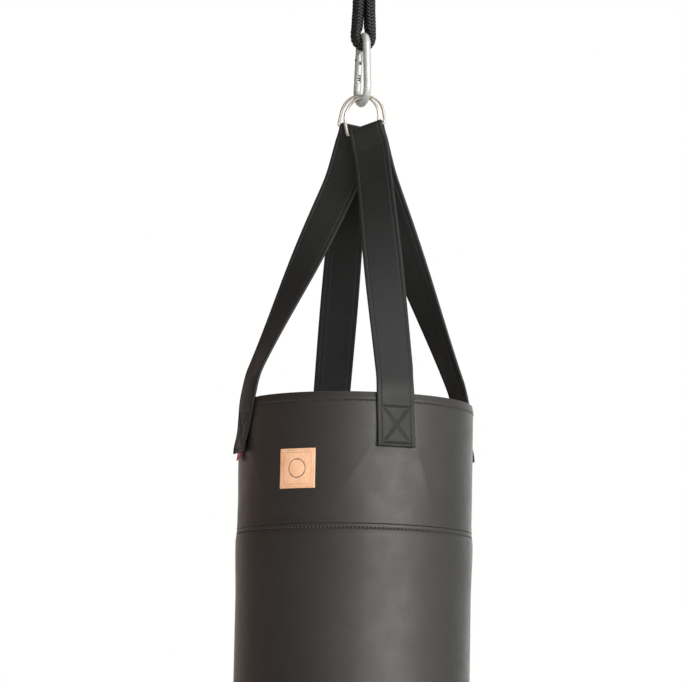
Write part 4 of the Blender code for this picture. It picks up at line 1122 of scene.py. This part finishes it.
def leg(name, side, downs, qs):
    """Middle surface of one leg: for each distance below the ring bar, a row of points across."""
    centre, bar_dir, up = ring_frame(side)
    az = math.radians(LEG_AZ[name])
    face = sign = 1 if name in ("front", "left") else -1
    tangent = Vector((math.cos(az), math.sin(az), 0)) * sign
    radial = Vector((math.sin(az), -math.cos(az), 0))
    start_bend = (32 if name in ("front", "back") else 66) * MM
    total = centre.z - RIM_Z
    meet = total - {"left": 13, "right": 9}.get(name, 8) * MM
    bend_w = {"left": 11, "right": 8}.get(name, 6) * MM
    goal = MID_R * radial
    n0, b0 = centre.dot(N), centre.dot(B)
    slope_b = (goal.dot(B) - b0) / meet
    sewn_n = n0 + face * (STRAP_T / 2 + GAP / 2)
    slope_n = (goal.dot(N) - sewn_n) / ramp(meet - start_bend, 14 * MM)
    loop_r = RING_WIRE_R + GAP + STRAP_T / 2

    def azimuth(down):
        lean = float(smoothstep((down - meet) / (total + STRAP_DOWN - meet)))
        return az + lean * math.radians(LEG_END_AZ[name] - LEG_AZ[name])

    def middle(down):
        pinch = float(smoothstep(down / SEWN_BELOW_BAR))
        n = n0 + face * (loop_r + (STRAP_T / 2 + GAP / 2 - loop_r) * pinch)
        n += slope_n * (ramp(down - start_bend, 14 * MM) - ramp(-start_bend, 14 * MM) * (1 - down / meet))
        flat = (b0 + slope_b * down) * B + n * N
        short = -0.4 * (down - meet) if down > meet else MID_R - flat.length
        radius = MID_R - corner(short, bend_w)
        here = azimuth(down)
        direction = flat.normalized() if down < meet else Vector((math.sin(here), -math.cos(here), 0))
        return direction * radius + (centre.z - down) * Z

    rows = []
    for down in downs:
        down = float(total + STRAP_DOWN + down if down <= 0 else down)
        here = middle(down)
        ahead = middle(down + 0.5 * MM) - middle(down - 0.5 * MM)
        ahead.normalize()
        held = (80 if name == "left" else 60 if name == "right" else 29) * MM
        twist = float(smoothstep((down - held) / (meet - held)))
        across = bar_dir.lerp(tangent, twist)
        across = (across - across.dot(ahead) * ahead).normalized()
        wrap = float(smoothstep((down - meet + 30 * MM) / (34 * MM)))
        width = FOLD_W + (STRAP_W - FOLD_W) * float(smoothstep((down - 6 * MM) / (16 * MM)))
        z = here.z
        row = []
        on_collar = float(smoothstep((RIM_Z - z) / (26 * MM)))
        flare = float(smoothstep((RIM_Z - 30 * MM - z) / (38 * MM))) ** 1.5
        for q in qs:
            q = float(q) * width / STRAP_W
            flat = here + q * across
            turn = azimuth(down) + sign * q / MID_R
            radius = math.hypot(here.x, here.y)
            curved = Vector((radius * math.sin(turn), -radius * math.cos(turn), here.z))
            p = flat.lerp(curved, wrap)
            if z < RIM_Z + 1.5 * MM:
                a = math.atan2(p.x, -p.y)
                edge = (q / (STRAP_W / 2)) ** 2
                lay = float(collar_r(np.array(a), np.array(min(z, RIM_Z - 0.5 * MM)))) + STRAP_T / 2 + 0.2 * MM
                lay += flare * ((0.9 if name == "front" else 2.6) + (1.2 if name == "front" else 2.0) * edge) * MM
                r = math.hypot(p.x, p.y)
                r += max((lay - r) * on_collar, lay - 0.15 * MM - r)
                p = Vector((r * math.sin(a), -r * math.cos(a), z))
            row.append(tuple(p))
        rows.append(row)
    return rows, total


def make_strap(name, first, second, side, body, node, lap):
    """Folded leather band: rounded edges, a stitch line inside each, a lap seam on its inner face."""
    centre, bar_dir, up = ring_frame(side)
    total = centre.z - RIM_Z
    edge_q = [25, 24.88, 24.5, 23.9, 23.0, 21.8, 20.6, 20.1, 19.75, 19.4, 19.05, 18.7, 18.2]
    edge_q += [17.3 - 1.15 * k for k in range(15)]
    qs = [-q for q in edge_q] + [0.0] + edge_q[::-1]
    qs = [q for q in qs if abs(q) > 18 or abs(q - lap) > 1.5]
    qs = sorted(set(qs + [lap - 0.9, lap - 0.35, lap, lap + 0.35, lap + 0.9]))
    qs = np.array(qs) * MM
    downs = list(np.arange(2, 30, 1.5) * MM) + list(np.arange(30, (total - 12 * MM) / MM, 4.0) * MM)
    downs += list(np.arange((total - 12 * MM) / MM, (total + 12 * MM) / MM, 2.0) * MM)
    downs += list(np.arange((total + 12.6 * MM) / MM, (total + STRAP_DOWN) / MM - 6.8, 1.1) * MM)
    tail = [-6, -4.8, -4.4, -4.0, -3, -2.4, -1.8, -1.2, -0.7, -0.3, -0.06]
    downs += [d * MM for d in tail]
    loop_r = RING_WIRE_R + GAP + STRAP_T / 2
    leg_a, _ = leg(first, side, downs, qs)
    leg_b, _ = leg(second, side, downs, qs)
    out = up.cross(bar_dir)
    out *= 1 if out.dot(N) > 0 else -1
    fold = []
    for i in range(17):
        a = math.pi * i / 16
        mid = centre + loop_r * (math.cos(a) * out + math.sin(a) * up)
        fold.append([tuple(mid + float(q) * FOLD_W / STRAP_W * bar_dir) for q in qs])
    grid = np.array(leg_a[::-1] + fold + leg_b)
    n_a, n_f = len(leg_a), len(fold)
    # Even out the joins between the fold and the legs
    for _ in range(3):
        lo, hi = n_a - 6, n_a + n_f + 6
        grid[lo:hi] = 0.5 * grid[lo:hi] + 0.25 * (grid[lo - 1:hi - 1] + grid[lo + 1:hi + 1])
        mid = n_a + n_f // 2
        pull = np.array(centre) - grid[n_a:n_a + n_f, :].mean(1)
    ds = np.gradient(grid, axis=0)
    dq = np.gradient(grid, axis=1)
    normal = unit(np.cross(dq, ds))
    mid = n_a + n_f // 2
    if normal[mid, len(qs) // 2].dot(np.array(up)) < 0:
        normal = -normal
    h = STRAP_T / 2
    q = qs
    past = np.clip((np.abs(q) - (25 * MM - h)) / h, 0, 1)
    half = h * np.sqrt(np.clip(1 - past**2, 0, 1))
    groove = 0.5 * MM * np.exp(-((np.abs(q) - 19.4 * MM) / (0.75 * MM)) ** 2)
    pillow = 0.14 * MM * np.exp(-((np.abs(q) - 22.2 * MM) / (1.6 * MM)) ** 2)
    outer = half - groove + pillow
    sign = 1 if lap > 0 else -1
    step = 0.42 * MM * smoothstep((sign * (q - lap * MM) + 0.3 * MM) / (0.6 * MM)) * (half / h)
    inner = half - groove + step - 0.15 * MM
    scale = np.ones(len(grid))
    end = np.array([d if d <= 0 else -1.0 for d in downs])
    for k, d in enumerate(downs):
        if d <= 0:
            s = math.sqrt(max(0.0, 1 - max(0.0, 1 - (-d) / h) ** 2))
            s = max(s, 0.08)
            if -6 * MM < d < -2.2 * MM:
                s *= 1 - 0.16 * math.exp(-((d + 4.4 * MM) / (0.6 * MM)) ** 2)
            scale[n_a - 1 - k] = s
            scale[n_a + n_f + k] = s
    # Held together in the stitching across both layers below the bar
    for k, d in enumerate(downs):
        if 0 < d < 40 * MM:
            s = 1 - 0.17 * math.exp(-((d - SEWN_BELOW_BAR) / (1.0 * MM)) ** 2)
            scale[n_a - 1 - k] = s
            scale[n_a + n_f + k] = s
    # The stitched box and cross press lines into the ends and leave four soft pillows
    dist = np.array([(total + STRAP_DOWN + d) if d <= 0 else d for d in downs])
    box_hi, box_lo = total + 18 * MM, total + STRAP_DOWN - 4.4 * MM
    rows_at = np.concatenate([dist[::-1], np.full(n_f, -1.0), dist])
    rise = rows_at[:, None] - box_hi
    reach = (box_lo - box_hi)
    wide = 37.2 * MM
    cos_x = reach / math.hypot(reach, wide)
    one = np.abs(q[None] - (-wide / 2 + wide * rise / reach)) * cos_x
    two = np.abs(q[None] - (wide / 2 - wide * rise / reach)) * cos_x
    near_x = np.minimum(one, two)
    inside = (rise > 0) & (rise < reach) & (np.abs(q[None]) < 19.4 * MM)
    frame_d = np.minimum(np.minimum(np.abs(rise), np.abs(reach - rise)), np.abs(19.4 * MM - np.abs(q[None])))
    puff = 0.42 * MM * smoothstep(np.minimum(near_x, frame_d) / (6 * MM)) * inside
    press = 1.2 * MM * np.exp(-(two / (0.9 * MM)) ** 2) * inside
    press = np.maximum(press, 0.9 * MM * np.exp(-(one / (0.9 * MM)) ** 2) * inside)
    for edge_at in (rise, reach - rise):
        press = np.maximum(press, 0.85 * MM * np.exp(-(edge_at / (0.85 * MM)) ** 2) * (np.abs(q[None]) < 19.4 * MM))
    top = grid + normal * (outer[None] * scale[:, None] + puff - press)[..., None]
    low = grid - normal * (inner[None] * scale[:, None])[..., None]
    ring = np.concatenate([top, low[:, ::-1][:, 1:-1]], axis=1)
    cols = ring.shape[1]
    faces = grid_faces(len(ring), cols, False, True).tolist()
    faces += [list(range(cols)), [(len(ring) - 1) * cols + k for k in range(cols)][::-1]]
    pile = Pile()
    pile.add(ring, faces)
    strap = put(name, pile.mesh(name, angle=60), MAT["strap"], body, [node])

    # Stitching
    thread = Pile()

    def rows_line(surface, rows, q0, q1, outward):
        """A line on a face from (row, q0) to (row, q1)."""
        pts, nrm = [], []
        for r, f in zip(rows, np.linspace(0, 1, len(rows))):
            qq = (q0 + (q1 - q0) * f) * MM
            pts.append([np.interp(qq, qs, surface[r, :, k]) for k in range(3)])
            nrm.append([np.interp(qq, qs, outward * normal[r, :, k]) for k in range(3)])
        return np.array(pts), np.array(nrm)

    last = len(grid) - 1
    sewn = sum(1 for d in downs if d <= 0 or d > total + 2 * MM)
    end_skip = sum(1 for d in downs if -4.2 * MM < d <= 0)
    for q0 in (-19.4, 19.4):
        pts, nrm = rows_line(top, range(end_skip, last - end_skip + 1), q0, q0, 1)
        stitches(thread, pts, nrm, 4.0 * MM)
        for a, b in ((sewn, n_a - 3), (n_a + n_f + 3, last - sewn)):
            pts, nrm = rows_line(low, range(a, b), q0, q0, -1)
            stitches(thread, pts, nrm, 4.0 * MM)
    at = int(np.argmin([abs(d - SEWN_BELOW_BAR) for d in downs]))
    for r in (n_a - 1 - at, n_a + n_f + at):
        pts = np.array([[np.interp(x * MM, qs, top[r, :, k]) for k in range(3)] for x in np.linspace(-18.6, 18.6, 40)])
        nrm = np.array([[np.interp(x * MM, qs, normal[r, :, k]) for k in range(3)] for x in np.linspace(-18.6, 18.6, 40)])
        stitches(thread, pts, nrm, 4.0 * MM)
    # Box and cross at each lower end
    box_top = int(np.argmin(np.abs(dist - (total + 18 * MM))))
    box_low = int(np.argmin(np.abs(dist - (total + STRAP_DOWN - 4.4 * MM))))
    for order in ([n_a - 1 - k for k in range(len(downs))], [n_a + n_f + k for k in range(len(downs))]):
        for r in (order[box_top], order[box_low]):
            xs = np.linspace(-18.9, 18.9, 40)
            pts = np.array([[np.interp(x * MM, qs, top[r, :, k]) for k in range(3)] for x in xs])
            nrm = np.array([[np.interp(x * MM, qs, normal[r, :, k]) for k in range(3)] for x in xs])
            stitches(thread, pts, nrm, 3.6 * MM, lift=0.10 * MM)
        for q0, q1 in ((-18.6, 18.6), (18.6, -18.6)):
            pts, nrm = [], []
            for k in range(box_top, box_low + 1):
                at_q = (q0 + (q1 - q0) * (dist[k] - box_hi) / reach) * MM
                pts.append([np.interp(at_q, qs, top[order[k], :, c]) for c in range(3)])
                nrm.append([np.interp(at_q, qs, normal[order[k], :, c]) for c in range(3)])
            stitches(thread, np.array(pts), np.array(nrm), 3.6 * MM, lift=0.12 * MM)
    put(name + "_stitching", thread.mesh(name + "_stitching"), MAT["thread"], body)


def strap_body(node):
    return NODES[node]["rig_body"]


make_strap("front_right_strap", "front", "right", 1, strap_body("strap_front_right"), "strap_front_right", 12.0)
make_strap("left_back_strap", "left", "back", -1, strap_body("strap_left_back"), "strap_left_back", -14.0)


# --- Label patch and side tab -------------------------------------------------------------

def make_patch():
    """Square of vegetable-tanned leather with a pressed border and a plain pressed ring."""
    az0, size, centre = math.radians(-29), 50 * MM, -796 * MM
    n = 150
    u = np.linspace(-0.5, 0.5, n)
    x, y = np.meshgrid(u * size, u * size, indexing="xy")
    pressed = np.zeros_like(x)
    r = np.hypot(x, y)
    for at in (11.5 * MM,):
        pressed = np.maximum(pressed, np.exp(-((r - at) / (0.95 * MM)) ** 4))
    inset = np.maximum(np.abs(x), np.abs(y))
    pressed = np.maximum(pressed, 0.5 * np.exp(-((inset - 19.6 * MM) / (0.55 * MM)) ** 4))
    pressed = pressed * (0.82 + 0.18 * np.sin(x * 410 + 1) * np.sin(y * 530 + 2))
    rough = (np.sin(x * 900 + 3 * np.sin(y * 700)) * np.sin(y * 1100 + 2) * 0.04) * MM
    edge = np.clip((inset - (25 * MM - 0.9 * MM)) / (0.9 * MM), 0, 1)
    height = 1.6 * MM - 0.9 * MM * (1 - np.sqrt(np.clip(1 - edge**2, 0, 1))) - 0.55 * MM * pressed + rough
    groove = np.exp(-((inset - 22.6 * MM) / (0.45 * MM)) ** 2)
    height -= 0.22 * MM * groove
    az = az0 + x / (BAG_R + 1 * MM)
    z = centre + y * (1.0)
    base = collar_r(az, z) + 0.15 * MM
    top = on_bag(az, base + height, z)
    low = on_bag(az, base, z)
    pile = Pile()
    faces = grid_faces(n, n).tolist()
    faces += (grid_faces(n, n)[:, ::-1] + n * n).tolist()
    rim = [(0, k) for k in range(n)] + [(k, n - 1) for k in range(1, n)] + [(n - 1, k) for k in range(n - 2, -1, -1)] \
        + [(k, 0) for k in range(n - 2, 0, -1)]
    idx = [a * n + b for a, b in rim]
    for a, b in zip(idx, idx[1:] + idx[:1]):
        faces.append([a, a + n * n, b + n * n, b])
    pile.add(np.concatenate([top.reshape(-1, 3), low.reshape(-1, 3)]), faces)
    mesh = pile.mesh("tan_patch", angle=60)
    shade = np.clip(pressed * 0.85 + 0.45 * edge**2 + 0.42 * groove, 0, 1).ravel()
    shade = np.concatenate([shade, np.full(n * n, 0.3)])
    attribute = mesh.attributes.new("pressed", "FLOAT", "POINT")
    attribute.data.foreach_set("value", shade.astype(np.float32))
    put("tan_patch", mesh, MAT["patch"], "bag", ["label_patch"])
    thread = Pile()
    side = np.linspace(-22.2, 22.2, 60) * MM
    for dx, dy, k in ((1, 0, -22.6), (1, 0, 22.6), (0, 1, -22.6), (0, 1, 22.6)):
        xx = side if dx else np.full(60, k * MM)
        yy = side if dy else np.full(60, k * MM)
        a = az0 + xx / (BAG_R + 1 * MM)
        zz = centre + yy
        stitches(thread, on_bag(a, collar_r(a, zz) + 1.6 * MM, zz), on_bag(a, 1.0, 0.0), 3.6 * MM, radius=0.42 * MM)
    put("tan_patch_stitching", thread.mesh("tan_patch_stitching"), MAT["thread_tan"], "bag")


def make_tab():
    """A folded ribbon tab that hangs from under the left strap's end."""
    box_lo, box_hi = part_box("side_tab")
    az0 = math.radians(-77)
    width, z_top, z_low = 18 * MM, box_hi.z + 3 * MM, box_lo.z
    cols, per = 25, 26
    rows = []
    for i in range(per + 1):
        s = i / per
        if s < 0.46:
            z, out = z_top + (z_low + 0.7 * MM - z_top) * s / 0.46, 0.55 * MM
        elif s > 0.54:
            z, out = z_low + 0.7 * MM + (z_top - z_low - 0.7 * MM) * (s - 0.54) / 0.46, -0.55 * MM
        else:
            a = math.pi * (s - 0.46) / 0.08
            z, out = z_low + 0.7 * MM - 0.7 * MM * math.sin(a), 0.55 * MM * math.cos(a)
        row = []
        for k in range(cols):
            x = (k / (cols - 1) - 0.5) * width
            ripple = 0.25 * MM * math.sin(k * 0.55) * (z_top - z) / (12 * MM)
            away = 1.6 * MM * ((z_top - z) / (12 * MM)) ** 1.5
            a = az0 + x / (BAG_R + 2 * MM)
            row.append(on_bag(np.array(a), np.array(BAG_R + 1.9 * MM + out + ripple + away), np.array(z)))
        rows.append(row)
    grid = np.array(rows).reshape(per + 1, cols, 3)
    mesh = bpy.data.meshes.new("red_tab")
    mesh.from_pydata(grid.reshape(-1, 3).tolist(), [], grid_faces(per + 1, cols).tolist())
    obj = loose("red_tab_sheet", mesh)
    solid = obj.modifiers.new("thickness", "SOLIDIFY")
    solid.thickness, solid.offset = 0.5 * MM, 0
    bpy.context.view_layer.update()
    mesh = bpy.data.meshes.new_from_object(obj.evaluated_get(bpy.context.evaluated_depsgraph_get()))
    bpy.data.objects.remove(obj)
    mesh.shade_smooth()
    mesh.set_sharp_from_angle(angle=math.radians(50))
    put("red_tab", mesh, MAT["tab"], "bag", ["side_tab"])


make_patch()
make_tab()


# --- Lid and zip -----------------------------------------------------------------------------

LID_R, LID_T, ZIP_HALF = 146.2 * MM, 2 * MM, 9 * MM
TAPE_Z = LID_TOP_Z - LID_T - GAP - 0.45 * MM


def zip_edge(x):
    """Where a lid half's edge runs: open beside the zip, meeting the other half past its ends."""
    return ZIP_HALF - (ZIP_HALF - 0.2 * MM) * smoothstep((np.abs(x) - 112.5 * MM) / (6 * MM))


def make_lid(name, sign, node):
    """Half of the lid: a turned edge along the zip, slightly crowned, stitched all round."""
    nx, ny = 230, 70
    limit = math.sqrt(LID_R**2 - MM**2)
    sx = np.sin(np.linspace(-0.5, 0.5, nx) * math.pi * 0.985) * limit
    fy = 0.5 - 0.5 * np.cos(np.linspace(0, 1, ny) * math.pi)
    x = np.broadcast_to(sx[:, None], (nx, ny))
    far = np.sqrt(LID_R**2 - sx**2)[:, None]
    edge_y = np.minimum(zip_edge(sx), 0.9 * far[:, 0])[:, None]
    y = edge_y + (far - edge_y) * fy[None]
    r = np.hypot(x, y)
    from_zip, from_rim = y - edge_y, LID_R - r
    near = np.minimum(from_zip, from_rim)
    crown = 1.1 * MM * smoothstep(near / (60 * MM))
    groove = 0.35 * MM * np.exp(-((from_zip - 5 * MM) / (0.8 * MM)) ** 2)
    groove = groove + 0.35 * MM * np.exp(-((from_rim - 6 * MM) / (0.8 * MM)) ** 2)
    edge = 0.8 * MM * (1 - np.sqrt(np.clip(1 - (1 - np.clip(near / (0.9 * MM), 0, 1)) ** 2, 0, 1)))
    hem = 0.25 * MM * smoothstep((6.2 * MM - from_zip) / (1.2 * MM))
    ripple = 0.25 * MM * np.sin(x * 38 + 1) * np.sin(y * 55 + 2) * smoothstep(near / (30 * MM))
    up = LID_TOP_Z + crown - groove - edge + hem + ripple
    az = np.arctan2(x, -sign * y)
    room = np.minimum(LID_R, collar_r(az, np.full_like(x, LID_TOP_Z)) - 3.0 * MM) / LID_R
    room = 1 - (1 - room) * smoothstep(r / LID_R * 2 - 1)
    top = np.stack([x * room, sign * y * room, up], -1)
    low = np.stack([x * room, sign * y * room, np.full_like(x, LID_TOP_Z - LID_T)], -1)
    n = nx * ny
    faces = grid_faces(nx, ny).tolist() + (grid_faces(nx, ny)[:, ::-1] + n).tolist()
    rim = [(0, k) for k in range(ny)] + [(k, ny - 1) for k in range(1, nx)] \
        + [(nx - 1, k) for k in range(ny - 2, -1, -1)] + [(k, 0) for k in range(nx - 2, 0, -1)]
    idx = [a * ny + b for a, b in rim]
    for a, b in zip(idx, idx[1:] + idx[:1]):
        faces.append([a, a + n, b + n, b])
    pile = Pile()
    pile.add(np.concatenate([top.reshape(-1, 3), low.reshape(-1, 3)]), faces)
    lid = put(name, pile.mesh(name, angle=60), MAT["lid"], "bag", [node])
    thread = Pile()
    line = np.linspace(-128, 128, 200) * MM
    zz = LID_TOP_Z - 0.05 * MM
    stitches(thread, np.stack([line, sign * (zip_edge(line) + 5 * MM), np.full(200, zz)], -1),
             np.broadcast_to((0, 0, 1.0), (200, 3)), 4.0 * MM)
    a = np.linspace(math.radians(8), math.radians(172), 300)
    az = np.arctan2(np.cos(a), -sign * np.sin(a))
    rr = np.minimum(LID_R, collar_r(az, np.full(300, LID_TOP_Z)) - 3.0 * MM) - 6 * MM
    stitches(thread, np.stack([rr * np.cos(a), sign * rr * np.sin(a), np.full(300, zz - 0.1 * MM)], -1),
             np.broadcast_to((0, 0, 1.0), (300, 3)), 4.0 * MM)
    put(name + "_stitching", thread.mesh(name + "_stitching"), MAT["thread"], "bag")


def bar(pile, centre, size, bevel):
    """A small block with its edges broken."""
    sx, sy, sz = (s / 2 for s in size)
    rows = []
    for z, inset in ((-sz, bevel), (-sz + bevel, 0), (sz - bevel, 0), (sz, bevel)):
        x, y, c = sx - inset, sy - inset, bevel
        rows.append([(x, -y + c, z), (x, y - c, z), (x - c, y, z), (-x + c, y, z), (-x, y - c, z), (-x, -y + c, z),
                     (-x + c, -y, z), (x - c, -y, z)])
    verts = np.array(rows).reshape(-1, 3) + np.array(centre)
    faces = grid_faces(4, 8, False, True).tolist() + [list(range(8))[::-1], [24 + k for k in range(8)]]
    pile.add(verts, faces)


def make_zip():
    for name, sign in (("front", -1), ("rear", 1)):
        teeth = Pile()
        count = 84
        for i in range(count):
            x = (-105.2 + 210.4 * (i + (0.25 if sign > 0 else -0.25) + 0.25) / (count - 0.5)) * MM
            bar(teeth, (x, sign * 1.69 * MM, TAPE_Z), (1.15 * MM, 2.42 * MM, 2.3 * MM), 0.25 * MM)
        put("zip_chain_" + name, teeth.mesh("zip_chain_" + name, angle=30), MAT["zip"], "bag",
            ["zip_teeth_" + name])
        tape = Pile()
        xs = np.linspace(-116, 116, 240) * MM
        ys = np.array([3.3, 3.5, 3.9, 4.3, 5.2, 6.5, 9, 12, 15.1, 15.3]) * MM
        thick = np.array([0.05, 0.55, 0.62, 0.5, 0.4, 0.38, 0.38, 0.38, 0.3, 0.05]) * MM
        gx, gy = np.meshgrid(xs, sign * ys, indexing="ij")
        wob = 0.03 * MM * np.sin(xs * 2500)[:, None]
        up = np.stack([gx, gy, TAPE_Z + thick[None] + wob], -1)
        dn = np.stack([gx, gy, TAPE_Z - thick[None] + 0 * wob], -1)
        ring = np.concatenate([up, dn[:, ::-1][:, 1:-1]], 1)
        cols = ring.shape[1]
        faces = grid_faces(len(xs), cols, False, True).tolist()
        faces += [list(range(cols)), [(len(xs) - 1) * cols + k for k in range(cols)][::-1]]
        tape.add(ring, faces)
        put("zip_cloth_" + name, tape.mesh("zip_cloth_" + name, angle=40), MAT["tape"], "bag",
            ["zip_tape_" + name])
    for node, x in (("zip_stop_closed", 108 * MM), ("zip_stop_open", -108 * MM)):
        stop = Pile()
        bar(stop, (x, 0, TAPE_Z + 0.2 * MM), (3 * MM, 6 * MM, 3.4 * MM), 0.6 * MM)
        put(node + "_block", stop.mesh(node + "_block", angle=30), MAT["zip"], "bag", [node])

    # Slider: two shaped plates, a post between them and a lug on top
    sx = 96 * MM
    shape = [(-6, -3.6), (-2, -4.5), (3, -4.5), (6, -3.4), (6, 3.4), (3, 4.5), (-2, 4.5), (-6, 3.6)]
    shape = [(a * MM, b * MM) for a, b in shape]
    obj = None
    for dz in (2.15, -2.15):
        mesh = outline_mesh("plate", [shape], 0.55 * MM, 0.2 * MM, Matrix.Translation((sx, 0, TAPE_Z + dz * MM)), 2)
        part = loose("plate", mesh)
        if obj is None:
            obj = part
        else:
            boolean(obj, part, "UNION")
    post = Pile()
    bar(post, (sx + 4 * MM, 0, TAPE_Z), (3 * MM, 0.8 * MM, 4.6 * MM), 0.1 * MM)
    boolean(obj, loose("post", post.mesh("post", smooth=False)), "UNION")
    px, pz = sx - 1 * MM, TAPE_Z + 4.3 * MM
    lug = [(-3 * MM, -2 * MM), (3 * MM, -2 * MM), (2.6 * MM, 1 * MM)] + arc(0, 1 * MM, 2 * MM, 0, math.pi, 12) \
        + [(-2.6 * MM, 1 * MM)]
    lug = [(x, min(y, 2 * MM)) for x, y in lug]
    side_on = Matrix.Translation((px, 0, pz)) @ Matrix.Rotation(math.pi / 2, 4, "X")
    boolean(obj, loose("lug", outline_mesh("lug", [lug], 0.9 * MM, 0.0, side_on, 0)), "UNION")
    boolean(obj, rod_tool(Vector((px, -4 * MM, pz)), Vector((px, 4 * MM, pz)), 1.15 * MM, 20))
    mesh = obj.data
    bpy.data.objects.remove(obj)
    mesh.materials.clear()
    mesh.shade_smooth()
    mesh.set_sharp_from_angle(angle=math.radians(30))
    put("zip_slider_body", mesh, MAT["zip"], "slider", ["zip_slider"])

    # Pull: a flat tag with a slot, its crossbar through the lug
    tag = arc(-25.2 * MM, 0, 3.2 * MM, math.pi / 2, 1.5 * math.pi, 12) + [(-3.5 * MM, -3.2 * MM), (0, -3.2 * MM),
                                                                       (0, -2.0 * MM), (-3.4 * MM, -2.0 * MM),
                                                                       (-3.4 * MM, 2.0 * MM), (0, 2.0 * MM),
                                                                       (0, 3.2 * MM), (-3.5 * MM, 3.2 * MM)]
    hole = arc(-23.5 * MM, 0, 1.4 * MM, 0, 2 * math.pi * 15 / 16, 15)
    mesh = outline_mesh("tag", [tag, hole], 0.6 * MM, 0.18 * MM, Matrix.Translation((px, 0, pz)), 2)
    obj = loose("tag", mesh)
    boolean(obj, rod_tool(Vector((px - 0.1 * MM, -3.15 * MM, pz)), Vector((px - 0.1 * MM, 3.15 * MM, pz)), 0.75 * MM, 20),
            "UNION")
    mesh = obj.data
    bpy.data.objects.remove(obj)
    mesh.materials.clear()
    mesh.shade_smooth()
    mesh.set_sharp_from_angle(angle=math.radians(30))
    put("zip_pull_tag", mesh, MAT["zip"], "pull", ["zip_pull"])


make_lid("lid_panel_front", -1, "lid_front")
make_lid("lid_panel_rear", 1, "lid_rear")
make_zip()

# --- Pieces that stay as the part has them, with their finishes ----------------------------------

for node, key, soft in (("collar_band", "band", "black_fabric"), ("foam_cap", "foam", "foam"),
                        ("foam_liner", "foam", "foam"), ("foam_base", "foam", "foam"),
                        ("inner_sack", "canvas", "canvas"), ("fill_core", "fill", "fill"),
                        ("gate_plunger", "rivet", "zinc_steel")):
    obj = NODES[node]
    while len(obj.material_slots) > 1:
        obj.data.materials.pop()
    if not obj.material_slots:
        obj.data.materials.append(MAT[key])
    obj.material_slots[0].material = MAT[key]


# --- Studio -------------------------------------------------------------------------------------

def make_studio():
    scene = bpy.context.scene
    scene.view_settings.view_transform = "Standard"
    scene.view_settings.look = "None"
    world = bpy.data.worlds.new("studio")
    scene.world = world
    world.use_nodes = True
    tree = world.node_tree
    for n in list(tree.nodes):
        tree.nodes.remove(n)

    def node(kind, **props):
        n = tree.nodes.new(kind)
        for k, v in props.items():
            setattr(n, k, v)
        return n

    out = node("ShaderNodeOutputWorld")
    seen, lit, mix = node("ShaderNodeBackground"), node("ShaderNodeBackground"), node("ShaderNodeMixShader")
    seen.inputs["Color"].default_value = (1, 1, 0.995, 1)
    seen.inputs["Strength"].default_value = 1.0
    path = node("ShaderNodeLightPath")
    tree.links.new(path.outputs["Is Camera Ray"], mix.inputs[0])
    tree.links.new(lit.outputs[0], mix.inputs[1])
    tree.links.new(seen.outputs[0], mix.inputs[2])
    tree.links.new(mix.outputs[0], out.inputs[0])
    coord, split = node("ShaderNodeTexCoord"), node("ShaderNodeSeparateXYZ")
    tree.links.new(coord.outputs["Generated"], split.inputs[0])
    flip = node("ShaderNodeMath", operation="MULTIPLY")
    flip.inputs[1].default_value = -1
    tree.links.new(split.outputs["Y"], flip.inputs[0])
    turn = node("ShaderNodeMath", operation="ARCTAN2")
    tree.links.new(split.outputs["X"], turn.inputs[0])
    tree.links.new(flip.outputs[0], turn.inputs[1])
    to01 = node("ShaderNodeMapRange")
    to01.inputs["From Min"].default_value = -math.pi
    to01.inputs["From Max"].default_value = math.pi
    tree.links.new(turn.outputs[0], to01.inputs["Value"])
    ramp_node = node("ShaderNodeValToRGB")
    ramp_node.color_ramp.interpolation = "EASE"
    stops = [(-180, (0.50, 0.47, 0.45)), (-152, (0.27, 0.22, 0.20)), (-122, (0.125, 0.078, 0.058)),
             (-70, (0.115, 0.074, 0.056)), (-40, (0.118, 0.100, 0.090)), (-18, (0.46, 0.455, 0.45)),
             (6, (0.95, 0.94, 0.92)), (34, (1.0, 0.965, 0.925)), (62, (1.0, 0.985, 0.95)), (86, (0.65, 0.68, 0.67)),
             (112, (0.18, 0.20, 0.195)), (138, (0.38, 0.39, 0.385)), (164, (0.66, 0.66, 0.65))]
    els = ramp_node.color_ramp.elements
    while len(els) < len(stops):
        els.new(0.5)
    for e, (deg, c) in zip(els, stops):
        e.position, e.color = (deg + 180) / 360, (*c, 1)
    tree.links.new(to01.outputs[0], ramp_node.inputs[0])
    # The bright side is a low window: it fades into a dim ceiling
    tall = node("ShaderNodeMapRange", interpolation_type="SMOOTHSTEP")
    for key, value in zip(("From Min", "From Max", "To Min", "To Max"), (0.12, 0.55, 3.1, 0.8)):
        tall.inputs[key].default_value = value
    tree.links.new(split.outputs["Z"], tall.inputs["Value"])
    tree.links.new(ramp_node.outputs[0], lit.inputs["Color"])
    tree.links.new(tall.outputs[0], lit.inputs["Strength"])

    def area(name, place, aim, size, power, color=(1, 1, 1), spread=180):
        data = bpy.data.lights.new(name, "AREA")
        data.shape, data.size, data.size_y = "RECTANGLE", size[0], size[1]
        data.energy, data.color = power, color
        data.spread = math.radians(spread)
        obj = bpy.data.objects.new(name, data)
        scene.collection.objects.link(obj)
        obj.location = place
        obj.rotation_mode = "QUATERNION"
        obj.rotation_quaternion = (Vector(aim) - Vector(place)).to_track_quat("-Z", "Y")

    area("overhead", (0.6, 0.4, 2.6), (0, 0, -1.9), (3.0, 3.0), 45)
    area("key", (11.7, -16.2, 2.67), (0, 0, -1.0), (15.5, 9.0), 2800, (1, 0.975, 0.94))

    pile = Pile()
    pile.add([(-40, -40, -2.15), (40, -40, -2.15), (40, 40, -2.15), (-40, 40, -2.15)], [[0, 1, 2, 3]])
    floor = loose("floor", pile.mesh("floor", smooth=False))
    floor.data.materials.append(MAT["floor"])


make_studio()

bpy.context.view_layer.update()
